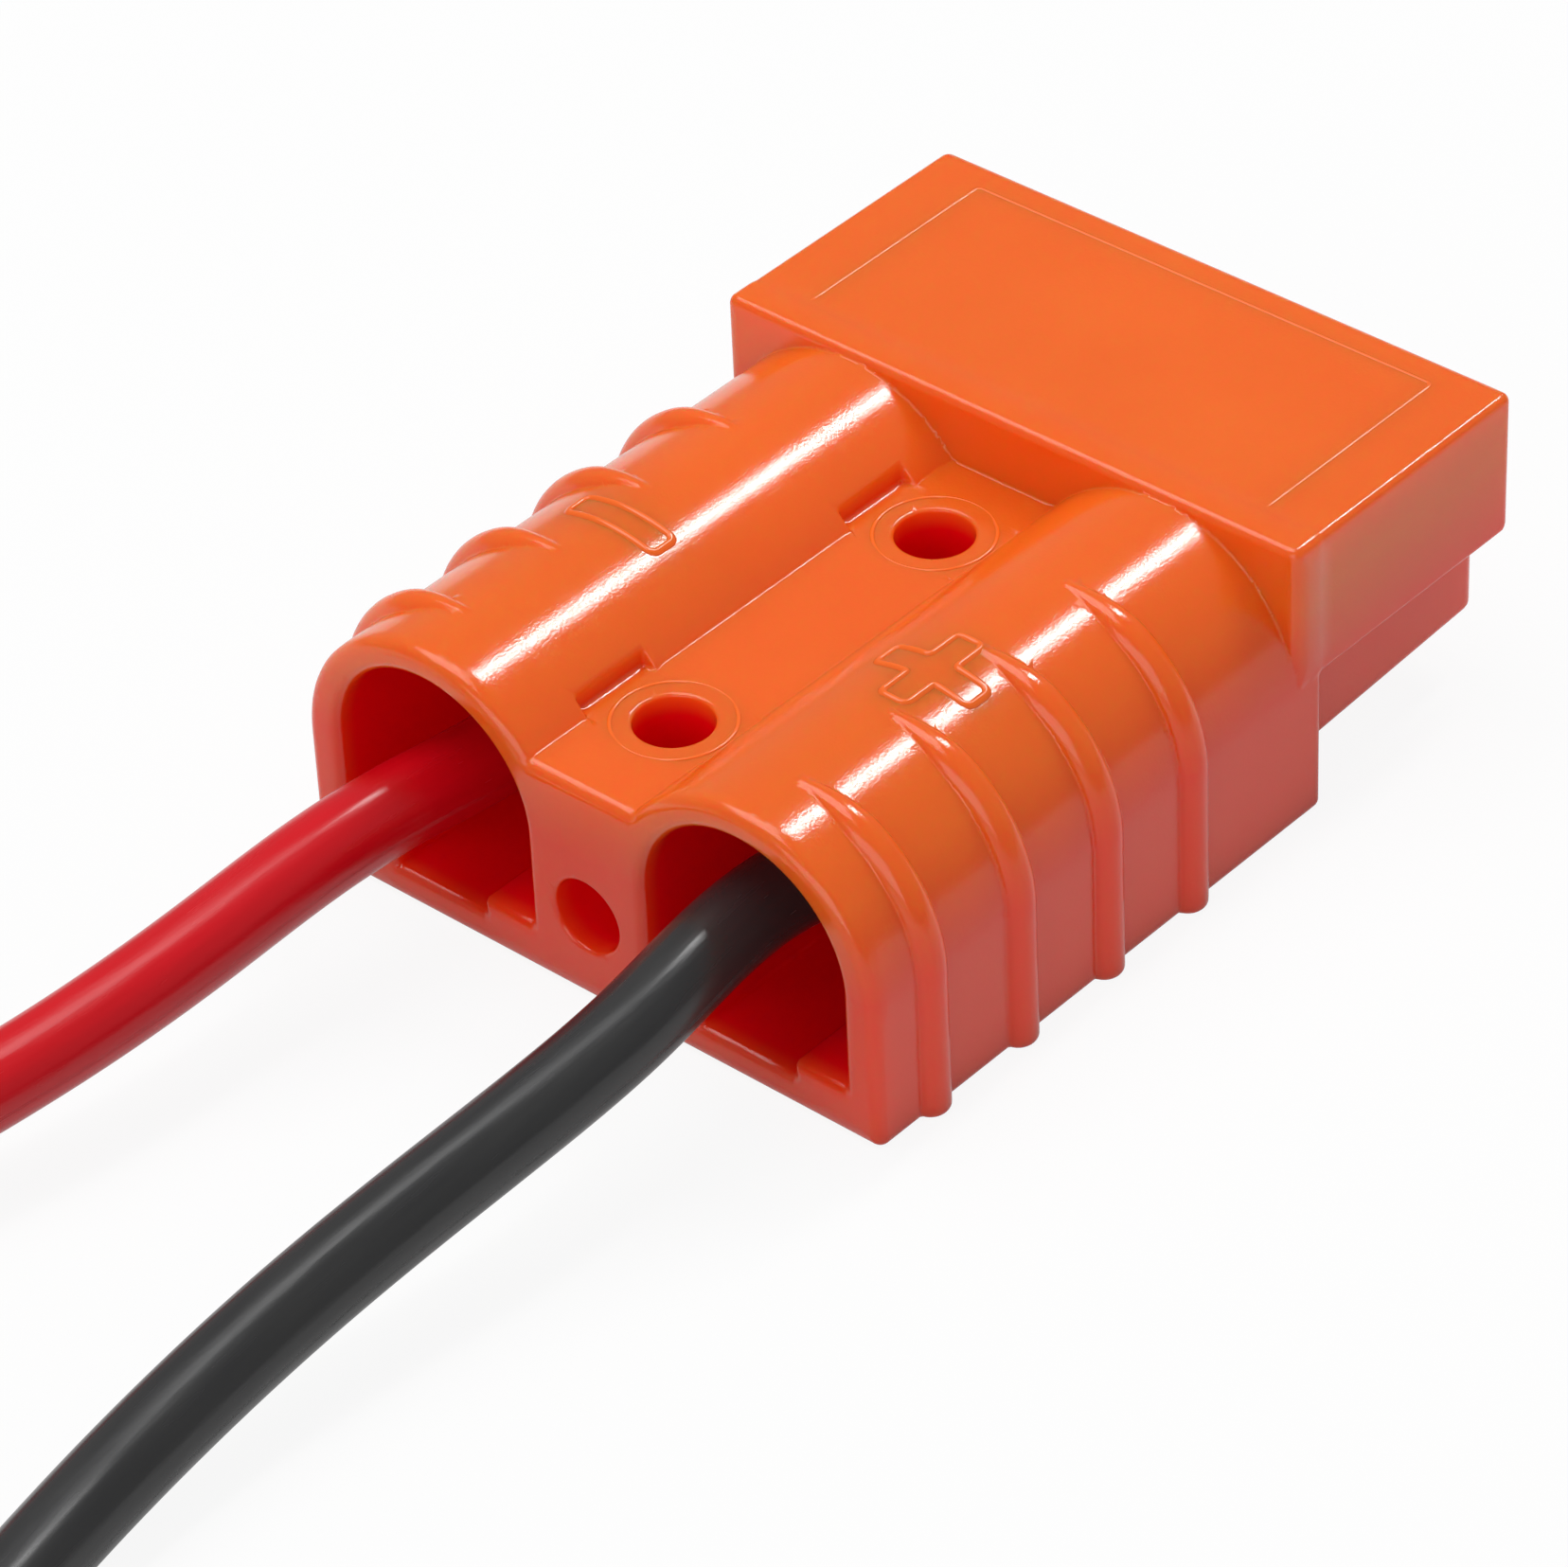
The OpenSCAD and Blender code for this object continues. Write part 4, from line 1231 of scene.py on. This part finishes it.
def moulded_plastic():
    """Glossy orange red plastic. Below its surface red light travels a fair part of a millimetre,
    green and blue hardly at all. Two tones a few parts in a hundred apart keep large faces from
    looking painted. Below the crests the colour is painted redder, a painted shade for where most
    of the light has already met other orange walls. Where the stored depth grows, it is painted
    over to a deep red, a painted shade for the hollows."""
    material = finish(
        "orange_plastic", ((0.87, 0.145, 0.011), (0.9, 0.16, 0.013)), GLOSS, PLASTIC_SCALES, 0.009,
        Subsurface_Weight=1.0, Subsurface_Radius=(1.0, 0.04, 0.015), Subsurface_Scale=2.5 * MM,
        IOR=1.53,
    )
    base = shader_of(material)["Base Color"]
    orange = base.links[0].from_socket
    # Painted shade: below the crests the base colour goes over to the redder tone, by height alone.
    parts = add_node(material, "SeparateXYZ")
    join_nodes(material, (own_place(material), parts.inputs["Vector"]))
    height = share_between(material, parts.outputs["Z"], LOW_Z, HIGH_Z)
    outside = blend_colours(material, height, PAINTED_SHADE_LOW_RED, orange)
    # Painted shade: where the stored depth grows, the base colour goes over to the deep red.
    depth = add_node(material, "Attribute", attribute_name="painted_shade_depth")
    share = share_between(material, depth.outputs["Fac"], SHALLOW, DEEP)
    join_nodes(material, (blend_colours(material, share, outside, PAINTED_SHADE_DEEP_RED), base))
    return material


def mould_line():
    """The same plastic for the outlines. They are thinner than the way that light travels in it, so
    it leaves them as it came. Their tones are a little lighter and redder than the skin's own, a
    painted glow in place of the light that scatters in the skin around them."""
    # Painted glow: these tones are a little lighter and redder than the skin's.
    tones = ((0.92, 0.145, 0.013), (0.95, 0.16, 0.015))
    return finish("plastic_of_mould_lines", tones, GLOSS, PLASTIC_SCALES, IOR=1.5)


dress(moulded_plastic(), housing)
dress(mould_line(), *beads)
# The heights of the painted shade on the lower faces.
print("plastic goes from", LOW_Z, "m up to", HIGH_Z, "m from low to high")

# %% [markdown]
# The insulation is a soft, satin plastic. Its fine grain runs along the lead, as it does when it
# is pressed through a die around the strands, so its pattern follows the tube's own map.

# %% The leads' insulation
GRAIN = (90, 700, 1)


def insulation(name, first, second):
    """Satin insulation whose bumps are long along the lead and short around it."""
    return finish(name, (first, second), (0.2, 0.29), (1, 1.7, 2.2), 0.02, GRAIN, True, IOR=1.5)


dress(insulation("red_insulation", (0.61, 0.001, 0.007), (0.67, 0.002, 0.01)), leads[RED])
dress(insulation("black_insulation", (0.026, 0.026, 0.027), (0.033, 0.033, 0.033)), leads[BLACK])
print("leads dressed, grain along to around:", GRAIN[0], "to", GRAIN[1])

# %% [markdown]
# The metals differ in how they were finished. Plated silver is bright with faint clouds, rolled
# steel has fine lines along the strip, tin is greyer and softer, and the copper strands are bare.

# %% Metals
ALL_WAYS, ALONG_STRIP = (1, 1, 1), (8, 1, 1)
METALS = [
    ("silver_plating", contacts, (0.92, 0.9, 0.86), (0.84, 0.81, 0.75), 0.22, 300, ALL_WAYS),
    ("spring_steel", springs, (0.62, 0.61, 0.6), (0.52, 0.52, 0.52), 0.3, 300, ALONG_STRIP),
    ("bare_copper", conductors, (0.86, 0.44, 0.27), (0.74, 0.33, 0.19), 0.3, 500, ALL_WAYS),
    ("tin_plating", terminals, (0.78, 0.77, 0.75), (0.68, 0.67, 0.65), 0.33, 400, ALL_WAYS),
]


def metal(name, bright, dull, roughness, scale, stretch):
    """Metal whose tone and roughness wander along the direction in which it was drawn or rolled."""
    rough = (0.8 * roughness, 1.3 * roughness)
    scales = (scale, 2.3 * scale, 4 * scale)
    return finish(name, (bright, dull), rough, scales, 0.004, stretch, Metallic=1.0)


for name, pieces, *numbers in METALS:
    dress(metal(name, *numbers), *pieces.values())
print("metals dressed:", [name for name, *_ in METALS])

# %% [markdown]
# The sleeves and the straps are matt. A shrunk sleeve has a fine grain, and a strap's is finer
# still but deeper. Both are the same recipe with other numbers.

# %% Sleeves and straps
SOFT_PLASTICS = [
    ("red_sleeve", [sleeves[RED]], (0.5, 0.008, 0.01), (0.56, 0.012, 0.014), 0.48, 500, 0.01),
    ("black_sleeve", [sleeves[BLACK]], (0.014, 0.014, 0.015), (0.02, 0.02, 0.02), 0.48, 500, 0.01),
    ("black_strap", ties.values(), (0.02, 0.02, 0.022), (0.032, 0.032, 0.034), 0.55, 900, 0.04),
]


def soft_plastic(name, first, second, roughness, scale, height):
    """Matt plastic with a fine even grain."""
    rough = (roughness - 0.06, roughness + 0.08)
    return finish(name, (first, second), rough, (scale, 2 * scale, 3 * scale), height)


for name, pieces, *numbers in SOFT_PLASTICS:
    dress(soft_plastic(name, *numbers), *pieces)
print("soft plastics dressed:", [name for name, *_ in SOFT_PLASTICS])

# %% [markdown]
# The studio is a white table in a bright room. One long, narrow soft box hangs past the mating
# end and high above, and draws the thin line of light along both arches. A wide one above and one
# low in front of the leads light the rest softly.

# %% Studio
TABLE_HALF = 6.0
CAMERA_GLOW, GLOSS_GLOW = 0.88, 0.45
TABLE_GREY, ROOM_GREY = (0.62, 0.62, 0.62), (0.28, 0.28, 0.28, 1)
SOFT_BOXES = [
    ("strip_box", (-0.05, 0.55, 0.75), (0.1, 0.4), 3.4),
    ("top_box", (-0.3, -0.1, 0.9), (0.7, 0.7), 4.4),
    ("front_box", (0.3, -0.85, 0.4), (0.9, 0.6), 2.5),
]


def area_light(name, place, size, power):
    """A soft box with two sides that looks at the middle of the connector's base."""
    data = bpy.data.lights.new(name, "AREA")
    data.shape = "RECTANGLE"
    data.size, data.size_y = size
    data.energy = power
    light = bpy.data.objects.new(name, data)
    light.location = place
    light.rotation_euler = (-Vector(place)).to_track_quat("-Z", "Y").to_euler()
    bpy.context.scene.collection.objects.link(light)


def white_table():
    """A pale table that the camera and the gloss see as nearly white: the camera sees about an
    eighth of its true light and shade, and the gloss a little more than half."""
    material = new_material("white_table", TABLE_GREY, 0.8)
    rays = add_node(material, "LightPath")
    gloss = add_node(material, "Math", operation="MULTIPLY")
    gloss.inputs[1].default_value = GLOSS_GLOW
    seen = add_node(material, "Math", operation="MULTIPLY_ADD")
    seen.inputs[1].default_value = CAMERA_GLOW
    glow = add_node(material, "Emission", color=(1, 1, 1, 1), strength=1.03)
    mix = add_node(material, "MixShader")
    nodes = material.node_tree.nodes
    join_nodes(
        material, (rays.outputs["Is Glossy Ray"], gloss.inputs[0]),
        (rays.outputs["Is Camera Ray"], seen.inputs[0]),
        (gloss.outputs[0], seen.inputs[2]), (seen.outputs[0], mix.inputs["Fac"]),
        (nodes["Principled BSDF"].outputs["BSDF"], mix.inputs[1]),
        (glow.outputs["Emission"], mix.inputs[2]),
        (mix.outputs["Shader"], nodes["Material Output"].inputs["Surface"]),
    )
    return material


corners = TABLE_HALF * np.array([(-1, -1, 0), (1, -1, 0), (1, 1, 0), (-1, 1, 0)])
floor = new_object("table_top", corners, [(0, 1, 2, 3)])
dress(white_table(), floor)
world = bpy.data.worlds.new("studio")
bpy.context.scene.world = world
world.use_nodes = True
world.node_tree.nodes["Background"].inputs["Color"].default_value = ROOM_GREY
for soft_box in SOFT_BOXES:
    area_light(*soft_box)
